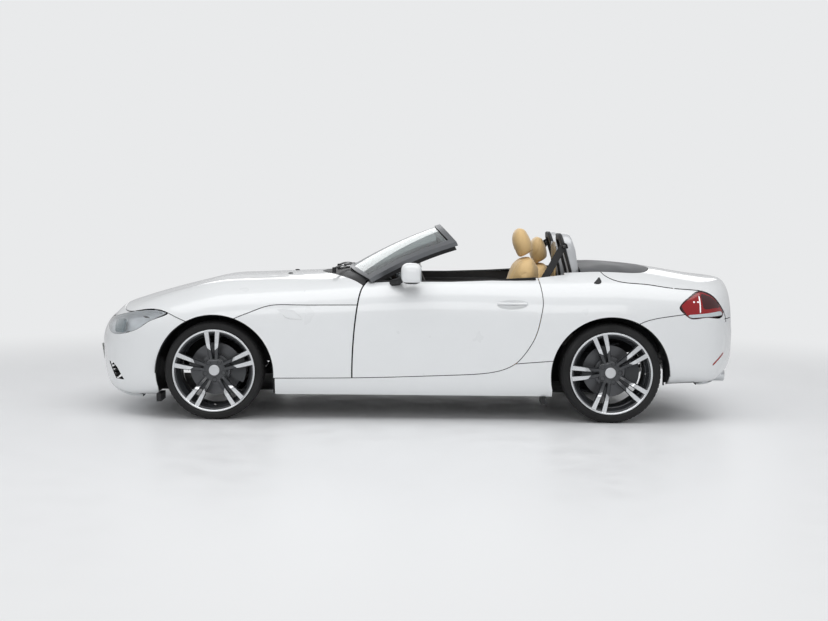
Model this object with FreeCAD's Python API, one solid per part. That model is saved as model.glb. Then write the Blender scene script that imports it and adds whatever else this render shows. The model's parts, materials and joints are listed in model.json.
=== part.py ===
"""Two-seat roadster with its roof stowed, as an assembly of separate solids.

Frame: +X runs to the tail, +Y to the right-hand side, +Z up; the nose points along -X.
The origin is on the ground, under the middle of the body's box. Millimetres.
"""
import FreeCAD, Part
import math
import os

V = FreeCAD.Vector

# Overall size
LENGTH = 4239.0
NOSE_X = -LENGTH / 2
TAIL_X = LENGTH / 2
WHEELBASE = 2496.0
FRONT_OVERHANG = 838.0
FRONT_AXLE_X = NOSE_X + FRONT_OVERHANG
REAR_AXLE_X = FRONT_AXLE_X + WHEELBASE

# Panels
SKIN = 10.0
SHUT_GAP = 5.0
LAMP_GAP = 1.0
TAIL_LAMP_INNER = -500.0
DOOR_FRONT_GAP = 9.0
BUILD_GAP = 0.3
ARCH_RADIUS = 374.0
ARCH_DROP = 20.0
FLOOR_LEVEL = 157.0

# Running gear
TYRE_RADIUS_FRONT = 310.0
TYRE_RADIUS_REAR = 314.0
TYRE_WIDTH_FRONT = 225.0
TYRE_WIDTH_REAR = 255.0
TRACK_HALF_FRONT = 757.0
TRACK_HALF_REAR = 760.0
RIM_SEAT_RADIUS = 243.0
RIM_FLANGE_RADIUS = 259.0
KINGPIN_Y = 680.0

# Fittings
TONNEAU = [(1045, -620), (1300, -625), (1430, -590), (1500, -450), (1513, 0), (1500, 450),
           (1430, 590), (1300, 625), (1045, 620)]
DOOR_INNER_Y = 700.0
GILL_FLOOR_Y = 860.0
HANDLE = (590.0, 853.0, 746.0)
HANDLE_RECESS = (100.0, 14.0, 39.0)
HANDLE_BAR = 8.0
GRILLE_HALF_WIDTH = 280.0
GRILLE_BARS = 5
GRILLE_LOW = 430.0
GRILLE_HIGH = 540.0
INTAKE_HALF_WIDTH = 380.0
INTAKE_LOW = 180.0
INTAKE_HIGH = 310.0
HUB_SEAT = 29.0
HUB_RADIUS = 78.0
HUB_INNER_END = 57.0
KNUCKLE_FACE = 62.0
SPINDLE_RADIUS = 20.0
RUNNING_FIT = 0.05
DISC_RADIUS = 165.0
DRIVER_Y = 370.0
STEERING_CENTRE = (60.0, -DRIVER_Y, 800.0)
COLUMN_TILT = 65.0
COLUMN_LENGTH = 240.0
COLUMN_RADIUS = 22.0
COLUMN_PLAY = 0.5
BOOT_FLOOR = 420.0
HINGE_X = -330.0
HINGE_Y = 832.0
HINGE_HEIGHTS = (505.0, 690.0)
HINGE_LEAF = 90.0
HINGE_EYE = 6.5
HINGE_PIN = 4.0
HINGE_GRIP = 30.0
SIDE_FRAME_Y = 600.0
TUNNEL_HALF = 150.0
TUNNEL_TOP = 420.0
BULKHEAD_X = 1030.0
RAIL_Y = 390.0
RAIL_Z = 400.0
DRIVE_HALF = 139.0
HOOP_HALF = 170.0
HOOP_TOP = 1183.0
HOOP_TUBE = 42.0
HOOP_SIDE = [(902, 1190), (987, 1166), (1016, 1080), (1040, 940), (1040, 860.3), (990, 860.3), (975, 947)]
SPRING_SEAT = 46.0
LINER_FOOT = 158.0
SPATS = ((-1649.0, -1620.0), (785.0, 812.0))
SPAT_FOOT = 107.0
SPAT_TONGUE = 20.0
DASH_END = (640.0, 862.0)
TIP_Y = 560.0
TIP_Z = 282.0
TIP_RADIUS = 42.0
TIP_END = 1985.0
LOWER_JOINT = -155.0
UPPER_JOINT = 165.0
JOINT_HALF = 12.0

# Body surface: half width, crown height, lower edge and waist height along the length
HALF_WIDTH = [(-2119.5, 100), (-2110, 200), (-2100, 270), (-2082, 350), (-2060, 430), (-2030, 520),
              (-2000, 585), (-1950, 665), (-1900, 722), (-1830, 776), (-1750, 815), (-1600, 855),
              (-1450, 875), (-1281, 885), (-1100, 881), (-900, 871), (-400, 858), (300, 858),
              (800, 872), (1210, 895), (1500, 885), (1700, 862), (1800, 840), (1880, 800),
              (1930, 745), (1972, 680), (2008, 600), (2038, 520), (2062, 430), (2086, 320),
              (2119.5, 160)]
CROWN = [(-2119.5, 470), (-2110, 508), (-2100, 540), (-2075, 588), (-2036, 626), (-1990, 662),
         (-1958, 690), (-1877, 722), (-1739, 765), (-1600, 804), (-1497, 829), (-1414, 851),
         (-1324, 872), (-1255, 883), (-1083, 891), (-876, 900), (-648, 909), (-400, 925),
         (0, 945), (500, 955), (900, 975), (1170, 990), (1300, 985), (1513, 965), (1713, 934),
         (1886, 908), (1990, 898), (2022, 892), (2030, 876), (2034, 830), (2038, 745),
         (2044, 690), (2056, 658), (2080, 632), (2102, 592), (2119.5, 545)]
LOWER_EDGE = [(-2119.5, 400), (-2110, 365), (-2100, 345), (-2075, 300), (-2050, 240), (-2000, 160),
              (-1900, 122), (-1800, 112), (-1657, 115), (-1500, 100), (-1000, 90), (900, 90),
              (1300, 120), (1500, 190), (1588, 212), (1880, 229), (1960, 262), (2040, 330),
              (2085, 395), (2105, 430), (2119.5, 470)]
WAIST = [(-2119.5, 435), (-2000, 450), (-1900, 470), (-1500, 550), (-1000, 600), (-400, 585),
         (300, 565), (800, 580), (1200, 620), (1600, 620), (1900, 590), (2040, 540),
         (2119.5, 508)]
SQUARENESS = [(-2119.5, 2.2), (-1900, 2.5), (-1500, 2.9), (-900, 3.2), (-400, 3.6), (200, 4.0),
              (1200, 3.0), (1600, 3.1), (1900, 3.2), (2030, 3.0), (2119.5, 2.4)]
STATIONS = [-2119.5, -2115, -2108, -2098, -2084, -2064, -2036, -2000, -1958, -1900, -1820, -1720,
            -1600, -1450, -1281, -1100, -900, -650, -400, -100, 200, 500, 800, 1000, 1200, 1400,
            1550, 1700, 1800, 1880, 1940, 1985, 2010, 2022, 2028, 2032, 2036, 2041, 2048, 2058,
            2070, 2086, 2100, 2112, 2119.5]
CREST = [(-1900, 0), (-1500, 14), (-1000, 15), (-650, 0)]
CREST_Y = 600.0
CREST_WIDTH = 90.0
LOWER_SQUARENESS = 8.0
SIDE_LEAN = 0.05
SECTION_SWEEP = math.radians(150)
SECTION_STEPS = 40

# Shut lines in side view (x, z)
DOOR_FRONT = [(-414.5, 262), (-413, 384), (-406, 510), (-394, 636), (-381, 730), (-369, 793),
              (-353, 837), (-322, 876), (-290, 915)]
DOOR_SWEEP = [(-930, 263), (-650, 265), (-414, 268), (-108, 277), (207, 290), (396, 301), (522, 323),
              (616, 368), (679, 437), (742, 551), (773, 677), (783, 740), (780, 803), (761, 901),
              (745, 960)]
REAR_SILL_LINE = [(608, 366), (742, 378), (900, 391)]
BONNET_FRONT = [(-1996, 740), (-1957, 704), (-1927, 680), (-1896, 665), (-1857, 661), (-1757, 677),
                (-1650, 685), (-1588, 673), (-1520, 645), (-1456, 619), (-1400, 592)]
BONNET_SIDE = [(-1215, 600), (-1155, 639), (-1052, 681), (-989, 706), (-938, 721), (-800, 728),
               (-388, 730), (-372, 730)]
LID_SIDE = [(1160, 1020), (1163, 970), (1171, 938), (1200, 912), (1245, 893), (1434, 871), (1562, 853),
            (1700, 840), (1776, 833), (1848, 811), (1886, 780), (1918, 737), (1944, 700), (1960, 659),
            (1966, 630)]
LID_BOTTOM_Z = 652.0
REAR_BUMPER_LINE = [(1340, 600), (1403, 637), (1492, 663), (1582, 677), (1680, 689), (1800, 690)]
GILL = [(-882, 698), (-831, 649), (-800, 640), (-724, 637), (-749, 668), (-790, 699)]
DUCT = [(-1997, 338), (-1958, 334), (-1925, 307), (-1873, 232), (-1938, 233), (-1964, 280)]
BELT_LINE = [(-340, 877), (-108, 873), (208, 875), (524, 887), (764, 902), (935, 921)]
HEADLAMP = [(-1582, 670), (-1650, 682), (-1757, 674), (-1857, 657), (-1911, 641), (-1965, 627),
            (-2020, 607), (-2026, 582), (-2010, 552), (-1985, 530), (-1940, 521), (-1843, 536),
            (-1752, 573), (-1673, 622)]
TAIL_LAMP = [(1638, 738), (1655, 760), (1696, 791), (1776, 831), (1848, 809), (1886, 778), (1917, 736),
             (1942, 700), (1936, 676), (1823, 667), (1706, 662), (1666, 690)]


def pchip(table, x):
    """Monotone cubic through (x, value) pairs: no overshoot between the given values."""
    if x <= table[0][0]:
        return table[0][1]
    if x >= table[-1][0]:
        return table[-1][1]
    xs = [p[0] for p in table]
    ys = [p[1] for p in table]
    k = max(i for i in range(len(xs) - 1) if xs[i] <= x)

    def slope(i):
        if i == 0 or i == len(xs) - 1:
            j = min(i, len(xs) - 2)
            return (ys[j + 1] - ys[j]) / (xs[j + 1] - xs[j])
        d0 = (ys[i] - ys[i - 1]) / (xs[i] - xs[i - 1])
        d1 = (ys[i + 1] - ys[i]) / (xs[i + 1] - xs[i])
        if d0 * d1 <= 0:
            return 0.0
        h0, h1 = xs[i] - xs[i - 1], xs[i + 1] - xs[i]
        w0, w1 = 2 * h1 + h0, h1 + 2 * h0
        return (w0 + w1) / (w0 / d0 + w1 / d1)

    h = xs[k + 1] - xs[k]
    t = (x - xs[k]) / h
    m0, m1 = slope(k) * h, slope(k + 1) * h
    return ((2 * t ** 3 - 3 * t ** 2 + 1) * ys[k] + (t ** 3 - 2 * t ** 2 + t) * m0
            + (3 * t ** 2 - 2 * t ** 3) * ys[k + 1] + (t ** 3 - t ** 2) * m1)


def body_section(x, inset):
    """One cross-section: superellipse quarters above and below the waist."""
    a = pchip(HALF_WIDTH, x) - inset
    top = pchip(CROWN, x) - inset
    low = pchip(LOWER_EDGE, x) + inset
    mid = pchip(WAIST, x)
    n = pchip(SQUARENESS, x)
    m = LOWER_SQUARENESS
    pts = []
    for j in range(SECTION_STEPS + 1):
        side = -1 + 2 * j / SECTION_STEPS
        phi = abs(side) * SECTION_SWEEP
        s, c = math.sin(phi), math.cos(phi)
        if c >= 0:
            r = (s ** n + c ** n) ** (-1 / n)
            z = mid + (top - mid) * r * c
            y = a * r * s
            z += pchip(CREST, x) * c * math.exp(-((y - CREST_Y) / CREST_WIDTH) ** 2)
        else:
            r = (s ** m + (-c) ** m) ** (-1 / m)
            z = mid + (mid - low) * r * c
            y = a * r * s * (1 - SIDE_LEAN * (mid - z) / (mid - low))
        pts.append(V(x, math.copysign(y, side), z))
    return pts


def body_solid(inset):
    """The whole body as one closed solid, moved inwards by inset."""
    k = (LENGTH / 2 - inset) / (LENGTH / 2)
    grid = []
    for x in STATIONS:
        row = body_section(x, inset)
        for p in row:
            p.x = p.x * k
        grid.append(row)
    skin = Part.BSplineSurface()
    skin.interpolate(grid)
    for row in (1, skin.NbUPoles):
        for col in range(1, skin.NbVPoles + 1):
            p = skin.getPole(row, col)
            p.x = math.copysign(k * LENGTH / 2, p.x)
            skin.setPole(row, col, p)
    u0, u1, v0, v1 = skin.bounds()
    faces = [skin.toShape(), Part.makeRuledSurface(skin.vIso(v0).toShape(), skin.vIso(v1).toShape())]
    for u in (u0, u1):
        edge = skin.uIso(u).toShape()
        first, last = edge.valueAt(edge.FirstParameter), edge.valueAt(edge.LastParameter)
        faces.append(Part.Face(Part.Wire([edge, Part.makeLine(last, first)])))
    return solid_of(faces)


def solid_of(faces):
    """Sew faces into one outward-facing solid."""
    shell = Part.makeShell(faces)
    shell.sewShape(0.01)
    solid = Part.makeSolid(shell.Shells[0])
    if solid.Volume < 0:
        solid.reverse()
    return solid


def box(x0, x1, y0, y1, z0, z1):
    """Box between two corners, in any order."""
    lo = V(min(x0, x1), min(y0, y1), min(z0, z1))
    return Part.makeBox(abs(x1 - x0), abs(y1 - y0), abs(z1 - z0), lo)


def cylinder_y(x, z, r, y0, y1):
    """Cylinder along Y."""
    return Part.makeCylinder(r, abs(y1 - y0), V(x, min(y0, y1), z), V(0, 1, 0))


def rod(p, q, r):
    """Round bar from p to q."""
    d = V(*q) - V(*p)
    return Part.makeCylinder(r, d.Length, V(*p), d)


def prism_xz(points, y0, y1):
    """Side-view polygon carried along Y."""
    pts = [V(x, min(y0, y1), z) for x, z in points]
    face = Part.Face(Part.makePolygon(pts + pts[:1]))
    return face.extrude(V(0, abs(y1 - y0), 0))


def prism_xy(points, z0, z1):
    """Plan-view polygon carried along Z."""
    pts = [V(x, y, z0) for x, y in points]
    return Part.Face(Part.makePolygon(pts + pts[:1])).extrude(V(0, 0, z1 - z0))


def prism_yz(points, x0, x1):
    """Front-view polygon carried along X."""
    pts = [V(x0, y, z) for y, z in points]
    return Part.Face(Part.makePolygon(pts + pts[:1])).extrude(V(x1 - x0, 0, 0))


def mirrored(shape):
    """The same piece on the other side of the car."""
    return shape.mirror(V(0, 0, 0), V(0, 1, 0))


def both(shape):
    """A piece and its mirror image as one compound."""
    return Part.makeCompound([shape, mirrored(shape)])


def spline(points):
    """Smooth edge through the points."""
    curve = Part.BSplineCurve()
    curve.interpolate(points)
    return curve.toShape()


def offset_line(points, distance):
    """Points moved sideways from a flat line of (a, b) pairs."""
    out = []
    for i, (a, b) in enumerate(points):
        a0, b0 = points[max(i - 1, 0)]
        a1, b1 = points[min(i + 1, len(points) - 1)]
        length = math.hypot(a1 - a0, b1 - b0)
        out.append((a - distance * (b1 - b0) / length, b + distance * (a1 - a0) / length))
    return out


def shut_gap(points, lay, direction, gap=SHUT_GAP):
    """Thin wall along a shut line: lay puts (a, b) in space, direction is the extrusion."""
    one = [lay(a, b) for a, b in offset_line(points, gap / 2)]
    two = [lay(a, b) for a, b in offset_line(points, -gap / 2)]
    wire = Part.Wire([spline(one), Part.makeLine(one[-1], two[-1]), spline(two).reversed(),
                      Part.makeLine(two[0], one[0])])
    return Part.Face(Part.Wire(Part.__sortEdges__(wire.Edges))).extrude(direction)


def side_gap(points, y0, y1):
    """Shut line drawn in side view, cut between two Y values."""
    return shut_gap(points, lambda x, z: V(x, y0, z), V(0, y1 - y0, 0))


def plan_gap(points, z0, z1):
    """Shut line drawn in plan, cut between two heights."""
    return shut_gap(points, lambda x, y: V(x, y, z0), V(0, 0, z1 - z0))


def side_region(points, y0, y1, inset=0.0):
    """Region under a smooth closed outline in side view, its points moved inwards by inset."""
    laps = points[-1:] + points + points[:1]
    area = sum(a[0] * b[1] - b[0] * a[1] for a, b in zip(laps[1:], laps[2:] + laps[:1]))
    moved = offset_line(laps, math.copysign(inset, area))[1:-1]
    curve = Part.BSplineCurve()
    curve.interpolate([V(x, y0, z) for x, z in moved], PeriodicFlag=True)
    return Part.Face(Part.Wire([curve.toShape()])).extrude(V(0, y1 - y0, 0))


def bonnet_rear(y):
    """Rear edge of the bonnet in plan."""
    return -648 + 290 * (abs(y) / 740) ** 2


def screen_base(y):
    """Foot of the windscreen in plan."""
    return -450 + 144 * (abs(y) / 720) ** 2


def curve_xy(fn, y0, y1, steps=12):
    """Plan points of x = fn(y)."""
    return [(fn(y0 + (y1 - y0) * k / steps), y0 + (y1 - y0) * k / steps) for k in range(steps + 1)]


def arch_cutter(x, z, radius):
    """Wheel-arch opening on both sides: round above, straight down below."""
    cuts = []
    for y0, y1 in ((-1100, -450), (450, 1100)):
        cuts.append(cylinder_y(x, z, radius, y0, y1))
        cuts.append(box(x - radius + 12, x + radius - 8, y0, y1, z, -100))
    return cuts


def block(grid_a, grid_b):
    """Closed solid between two interpolated surfaces over like grids of points."""
    sheets = []
    for grid in (grid_a, grid_b):
        s = Part.BSplineSurface()
        s.interpolate(grid)
        sheets.append(s)
    faces = [s.toShape() for s in sheets]
    u0, u1, v0, v1 = sheets[0].bounds()
    for iso, values in (("uIso", (u0, u1)), ("vIso", (v0, v1))):
        for value in values:
            edges = [getattr(s, iso)(value).toShape() for s in sheets]
            faces.append(Part.makeRuledSurface(*edges))
    return solid_of(faces)


def sheet(point, us, vs, inner, outer):
    """Curved plate: point(u, v, offset) between two offsets."""
    def grid(off):
        return [[point(u, v, off) for v in vs] for u in us]
    return block(grid(inner), grid(outer))


def span(a, b, n):
    """n + 1 even values from a to b."""
    return [a + (b - a) * k / n for k in range(n + 1)]


def pick(solids, x, y, z):
    """The solid that lies nearest a point."""
    probe = Part.Vertex(x, y, z)
    return min(solids, key=lambda s: s.distToShape(probe)[0])


class Body:
    """The outer body and what is cut from it."""

    def __init__(self):
        self.outer = body_solid(0)
        self.inner = body_solid(SKIN)
        self.cavity = body_solid(SKIN + BUILD_GAP)
        front_z = TYRE_RADIUS_FRONT - ARCH_DROP
        rear_z = TYRE_RADIUS_REAR - ARCH_DROP
        self.front_arch = arch_cutter(FRONT_AXLE_X, front_z, ARCH_RADIUS)
        self.rear_arch = arch_cutter(REAR_AXLE_X, rear_z, ARCH_RADIUS + 2)
        self.under = [box(-1650, 1560, -1000, 1000, -100, FLOOR_LEVEL),
                      box(-1780, 1800, -700, 700, -100, 300)]
        self.cockpit = prism_xz(BELT_LINE + [(935, 1200), (-340, 1200)], -1000, 1000)

    def panel(self, region, cuts, probe, backing=None):
        """Skin inside a region, trimmed by cuts; probe is a point near the wanted piece."""
        piece = self.outer.common(region).cut(backing or self.inner)
        if cuts:
            piece = piece.cut(cuts)
        return pick(piece.Solids, *probe)


def left_gap(line, gap=SHUT_GAP):
    """Shut line on the left-hand side."""
    return shut_gap(line, lambda x, z: V(x, -1100, z), V(0, 540, 0), gap)


def make_panels(nodes):
    """Outer skin, parted at the shut lines."""
    body = Body()
    door = body.panel(box(-430, 800, -1100, -600, 255, 910),
                      [left_gap(DOOR_FRONT, DOOR_FRONT_GAP), left_gap(DOOR_SWEEP), body.cockpit], (200, -860, 600))
    nodes["door_left"] = door_handle(hang_door(door.fuse(door_inner(body))))
    nodes["door_right"] = mirrored(nodes["door_left"])
    fender = body.panel(box(-1200, -290, -1100, -600, 255, 760),
                        [left_gap(BONNET_SIDE), left_gap(DOOR_FRONT, DOOR_FRONT_GAP), left_gap(DOOR_SWEEP),
                         body.front_arch[0], body.front_arch[1]], (-700, -870, 500))
    nodes["front_fenders"] = both(fender.cut(prism_xz(GILL, -1100, -GILL_FLOOR_Y)))
    sides = [side_gap(BONNET_SIDE, y0, y1) for y0, y1 in ((-1100, -560), (560, 1100))]
    door_front = left_gap(DOOR_FRONT, DOOR_FRONT_GAP)
    sides += [door_front, mirrored(door_front)]
    nodes["bonnet"] = body.panel(box(-2010, -280, -1100, 1100, 570, 1000),
                                 sides + body.front_arch + [side_gap(BONNET_FRONT, -1100, 1100),
                                 plan_gap(curve_xy(bonnet_rear, -790, 790), 700, 1100)],
                                 (-1300, 0, 880))
    lamp_left = side_region(HEADLAMP, -1100, -300)
    lamp_right = mirrored(lamp_left)
    nodes["front_bumper"] = body.panel(box(NOSE_X, FRONT_AXLE_X, -1100, 1100, 0, 740),
                                       [side_gap(BONNET_FRONT, -1100, 1100), lamp_left, lamp_right,
                                        grille_hole(), intake_hole(), duct_hole(),
                                        mirrored(duct_hole())]
                                       + body.front_arch + body.under, (-2000, 200, 180))
    sill = body.panel(box(-900, 900, -1100, -600, FLOOR_LEVEL, 400),
                      [left_gap(DOOR_SWEEP), left_gap(REAR_SILL_LINE), body.front_arch[0],
                       body.front_arch[1], body.rear_arch[0], body.rear_arch[1]], (0, -850, 220))
    nodes["sills"] = both(sill)
    lid_line = side_gap(LID_SIDE, -1100, 1100)
    lid_foot = box(1950, 2200, -1100, 1100, LID_BOTTOM_Z - SHUT_GAP / 2, LID_BOTTOM_Z + SHUT_GAP / 2)
    tail_left = side_region(TAIL_LAMP, -1100, TAIL_LAMP_INNER)
    tail_right = mirrored(tail_left)
    panel_cut = plan_gap(TONNEAU, 800, 1100)
    well = box(900, TONNEAU[0][0] + 2, -620, 620, 800, 1100)
    quarter = body.panel(box(600, 1998, -1100, -480, 340, 1010),
                         [left_gap(DOOR_SWEEP), left_gap(REAR_SILL_LINE), body.rear_arch[0],
                          body.rear_arch[1], left_gap(REAR_BUMPER_LINE), lid_line, tail_left,
                          body.cockpit, panel_cut, well], (1000, -880, 650))
    nodes["rear_quarters"] = both(quarter)
    lines = [side_gap(REAR_BUMPER_LINE, y0, y1) for y0, y1 in ((-1100, -560), (560, 1100))]
    nodes["rear_bumper"] = body.panel(box(REAR_AXLE_X, TAIL_X, -1100, 1100, 0, 700),
                                      lines + [lid_line, lid_foot, tail_left, tail_right]
                                      + [rod((1780, y, TIP_Z), (2150, y, TIP_Z), TIP_RADIUS + 8)
                                         for y in (-TIP_Y, TIP_Y)]
                                      + body.rear_arch + body.under, (2110, 0, 500))
    nodes["boot_lid"] = body.panel(box(1150, 2100, -1100, 1100, 640, 1010),
                                   [lid_line, lid_foot, tail_left, tail_right, panel_cut],
                                   (1700, 0, 930))
    screen_cut = prism_xy(curve_xy(screen_base, -760, 760) + [(-300, 760), (-300, -760)], 780, 1100)
    nodes["cowl"] = body.panel(box(-660, -290, -790, 790, 780, 1000),
                               [plan_gap(curve_xy(bonnet_rear, -790, 790), 700, 1100), screen_cut]
                               + sides[2:], (-600, 0, 905))
    nodes["tonneau_panel"] = body.panel(box(1045, 1520, -640, 640, 850, 1010), [panel_cut],
                                        (1200, 0, 980))
    deep = body_solid(60)
    lamp = body.outer.common(side_region(HEADLAMP, -1100, -300 - LAMP_GAP, LAMP_GAP)).cut(deep)
    nodes["headlamps"] = both(pick(lamp.Solids, -1850, -760, 590))
    lamp = side_region(TAIL_LAMP, -1100, TAIL_LAMP_INNER - LAMP_GAP, LAMP_GAP)
    lamp = body.outer.common(lamp).cut(deep)
    nodes["tail_lamps"] = both(pick(lamp.Solids, 1850, -780, 720))
    return body


def door_inner(body):
    """Thick inner half of the door, set back from the shut lines."""
    front = HINGE_X + 20
    outline = [(front, 300), (200, 318), (520, 350), (610, 398), (668, 470), (722, 580), (742, 680),
               (742, 780), (726, 905), (-290, 905), (front, 860)]
    core = body_solid(SKIN - 1).common(prism_xz(outline, -1000, -DOOR_INNER_Y))
    return core.cut(body.cockpit)


def hang_door(door):
    """Add the door's hinge eyes, bored for the pins."""
    for z in HINGE_HEIGHTS:
        low = z - HINGE_GRIP / 2
        eye = Part.makeCylinder(HINGE_EYE, HINGE_GRIP, V(HINGE_X, -HINGE_Y, low))
        leaf = box(HINGE_X, HINGE_X + 30, -HINGE_Y - 3, -HINGE_Y + HINGE_EYE, low, low + HINGE_GRIP)
        door = door.fuse(eye.fuse(leaf))
        door = door.cut(Part.makeCylinder(HINGE_PIN + RUNNING_FIT, 90, V(HINGE_X, -HINGE_Y, z - 45)))
    return door


def door_handle(door):
    """Hollow the grip recess into the door and bridge it with the handle."""
    x, y, z = HANDLE
    recess = Part.makeSphere(1)
    scale = FreeCAD.Matrix()
    scale.scale(V(*HANDLE_RECESS))
    recess = recess.transformGeometry(scale)
    recess.translate(V(x, -y, z))
    reach = HANDLE_RECESS[0] - HANDLE_BAR
    bar = rod((x - reach, 3 - y, z), (x + reach, 3 - y, z), HANDLE_BAR)
    return door.cut(recess).fuse(bar)


def hinge_brackets():
    """Body half of the left-hand door hinges: two leaves and a pin each."""
    parts = []
    leaf_thickness = 8
    for z in HINGE_HEIGHTS:
        for s in (-1, 1):
            z0 = z + s * (HINGE_GRIP / 2 + BUILD_GAP)
            z1 = z0 + s * leaf_thickness
            leaf = box(HINGE_X - 20, HINGE_X + HINGE_EYE, -HINGE_Y, -HINGE_Y + HINGE_LEAF, z0, z1)
            nose = Part.makeCylinder(HINGE_EYE, leaf_thickness, V(HINGE_X, -HINGE_Y, min(z0, z1)))
            leaf = leaf.cut(box(HINGE_X - 30, HINGE_X - HINGE_EYE, -HINGE_Y - 10, -HINGE_Y + 45, z0, z1))
            parts += [leaf, nose]
        reach = HINGE_GRIP / 2 + leaf_thickness
        parts.append(Part.makeCylinder(HINGE_PIN, 2 * reach, V(HINGE_X, -HINGE_Y, z - reach)))
    return parts


def grille_hole():
    """Upper opening of the nose."""
    w, foot = GRILLE_HALF_WIDTH, GRILLE_HALF_WIDTH - 45
    outline = [(-w, GRILLE_HIGH), (-foot, GRILLE_LOW), (foot, GRILLE_LOW), (w, GRILLE_HIGH)]
    return prism_yz(outline, -2200, -1960)


def intake_hole():
    """Lower opening of the nose."""
    w, top = INTAKE_HALF_WIDTH, INTAKE_HALF_WIDTH - 40
    outline = [(-w, INTAKE_LOW), (-top, INTAKE_HIGH), (top, INTAKE_HIGH), (w, INTAKE_LOW)]
    return prism_yz(outline, -2200, -1900)


def duct_hole():
    """Air duct at the left corner of the nose."""
    return prism_xz(DUCT, -1000, -480)


def pair(*corners):
    """A box and its mirror image."""
    one = box(*corners)
    return [one, mirrored(one)]


def make_tub(nodes, body):
    """Floor, sills' inner boxes, tunnel, bulkheads and inner walls, as the panels they are made of."""
    low, gap = FLOOR_LEVEL, BUILD_GAP
    sill_top = low + 98
    post_top = 715
    wall_y = SIDE_FRAME_Y - gap
    notch = box(SPATS[1][0] - 3, 830, -900, -SIDE_FRAME_Y, low - 10, low + SPAT_TONGUE)
    sill = box(-880, 820, -900, -SIDE_FRAME_Y, low, sill_top).cut(notch)
    edge = [sill, mirrored(sill)]
    edge += pair(795, 830, -900, -590, sill_top + gap, 860)
    edge += pair(-430, -305, -694, -SIDE_FRAME_Y, post_top + gap, 860)
    post = box(-620, HINGE_X - 95, -900, -SIDE_FRAME_Y, sill_top + gap, post_top)
    post = post.fuse(box(-640, HINGE_X - 12, -752, -SIDE_FRAME_Y, sill_top + gap, post_top))
    post = post.common(body.cavity).multiFuse(hinge_brackets())
    firewall = box(-640, -610, -wall_y, wall_y, low, 850)
    edge.append(firewall.cut(box(-650, -600, -TUNNEL_HALF, TUNNEL_HALF, low, TUNNEL_TOP)))
    inner = [post, mirrored(post)]
    front, back = -610 + gap, 1000 - gap
    inner += pair(front, back, -wall_y, -TUNNEL_HALF - gap, low, low + 20)
    inner += pair(front, back, -TUNNEL_HALF, -TUNNEL_HALF + 20, low, TUNNEL_TOP - 15 - gap)
    inner.append(box(front, back, -TUNNEL_HALF, TUNNEL_HALF, TUNNEL_TOP - 15, TUNNEL_TOP))
    bulkhead = box(1000, BULKHEAD_X, -590 + gap, 590 - gap, low, 845 - gap)
    hole = box(990, 1040, -TUNNEL_HALF + 25, TUNNEL_HALF - 25, low - 10, TUNNEL_TOP - 20)
    inner.append(bulkhead.cut(hole))
    inner.append(box(905, BULKHEAD_X, -590 + gap, 590 - gap, 845, 860))
    nodes["body_tub"] = Part.makeCompound([one.common(body.cavity) for one in edge] + inner)
    rear = BULKHEAD_X + gap
    edge = pair(1155, 1185, -900, -560, 700 + gap, 960)
    edge.append(box(1940, 2100, -420, 420, LID_BOTTOM_Z - 12, LID_BOTTOM_Z + SHUT_GAP / 2 - gap))
    edge += pair(1960 + gap, 2200, -450, -350, 450, 520)
    inner = [box(rear, 1960, -590, 590, BOOT_FLOOR, BOOT_FLOOR + 15)]
    inner += pair(rear, 1900, -590, -570, BOOT_FLOOR + 15 + gap, 700)
    inner.append(box(1940, 1960, -480, 480, BOOT_FLOOR + 15 + gap, LID_BOTTOM_Z - 12 - gap))
    nodes["boot_tub"] = Part.makeCompound([one.common(body.cavity) for one in edge] + inner)
    end = -640 - gap
    rail = box(-2200, end, -RAIL_Y - 50, -RAIL_Y, RAIL_Z - 70, RAIL_Z).common(body.cavity)
    wall = prism_xz([(-1740, RAIL_Z + gap), (-1740, 600), (-1600, 700), (-1400, 740), (end, 770),
                     (end, RAIL_Z + gap)], -RAIL_Y - 50, -RAIL_Y - 35)
    panel = box(-1880, -1865, -290, 290, RAIL_Z - 70, 950).common(body.cavity)
    nodes["front_structure"] = Part.makeCompound([rail, mirrored(rail), wall, mirrored(wall), panel])


def make_liners(body):
    """Wheel-arch liners and the flat under-trays."""
    out = []
    for x, z, r, y_in in ((FRONT_AXLE_X, TYRE_RADIUS_FRONT - ARCH_DROP, ARCH_RADIUS, 450),
                          (REAR_AXLE_X, TYRE_RADIUS_REAR - ARCH_DROP, ARCH_RADIUS + 2, 600)):
        ring = cylinder_y(x, z, r - BUILD_GAP, -842, -y_in).cut(cylinder_y(x, z, r - 6, -900, -400))
        ring = ring.cut(box(x - 500, x + 500, -900, -400, -200, z))
        legs = [box(x + s * (r - BUILD_GAP), x + s * (r - 6), -900, -y_in, LINER_FOOT, z) for s in (-1, 1)]
        liner = ring.multiFuse([leg.common(body.cavity) for leg in legs])
        out += [liner, mirrored(liner)]
    for (x0, x1), tongue in zip(SPATS, (0.0, SPAT_TONGUE)):
        spat = box(x0, x1, -815, -650, SPAT_FOOT, FLOOR_LEVEL - BUILD_GAP)
        if tongue:
            spat = spat.fuse(box(x0, x1, -750, -650, SPAT_FOOT, FLOOR_LEVEL + tongue - BUILD_GAP)).removeSplitter()
        out += [spat, mirrored(spat)]
    tray = TYRE_RADIUS_FRONT + LOWER_JOINT - JOINT_HALF - BUILD_GAP
    out.append(box(-1775, -660, -430, 430, tray - 6, tray))
    return Part.makeCompound(out)


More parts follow.
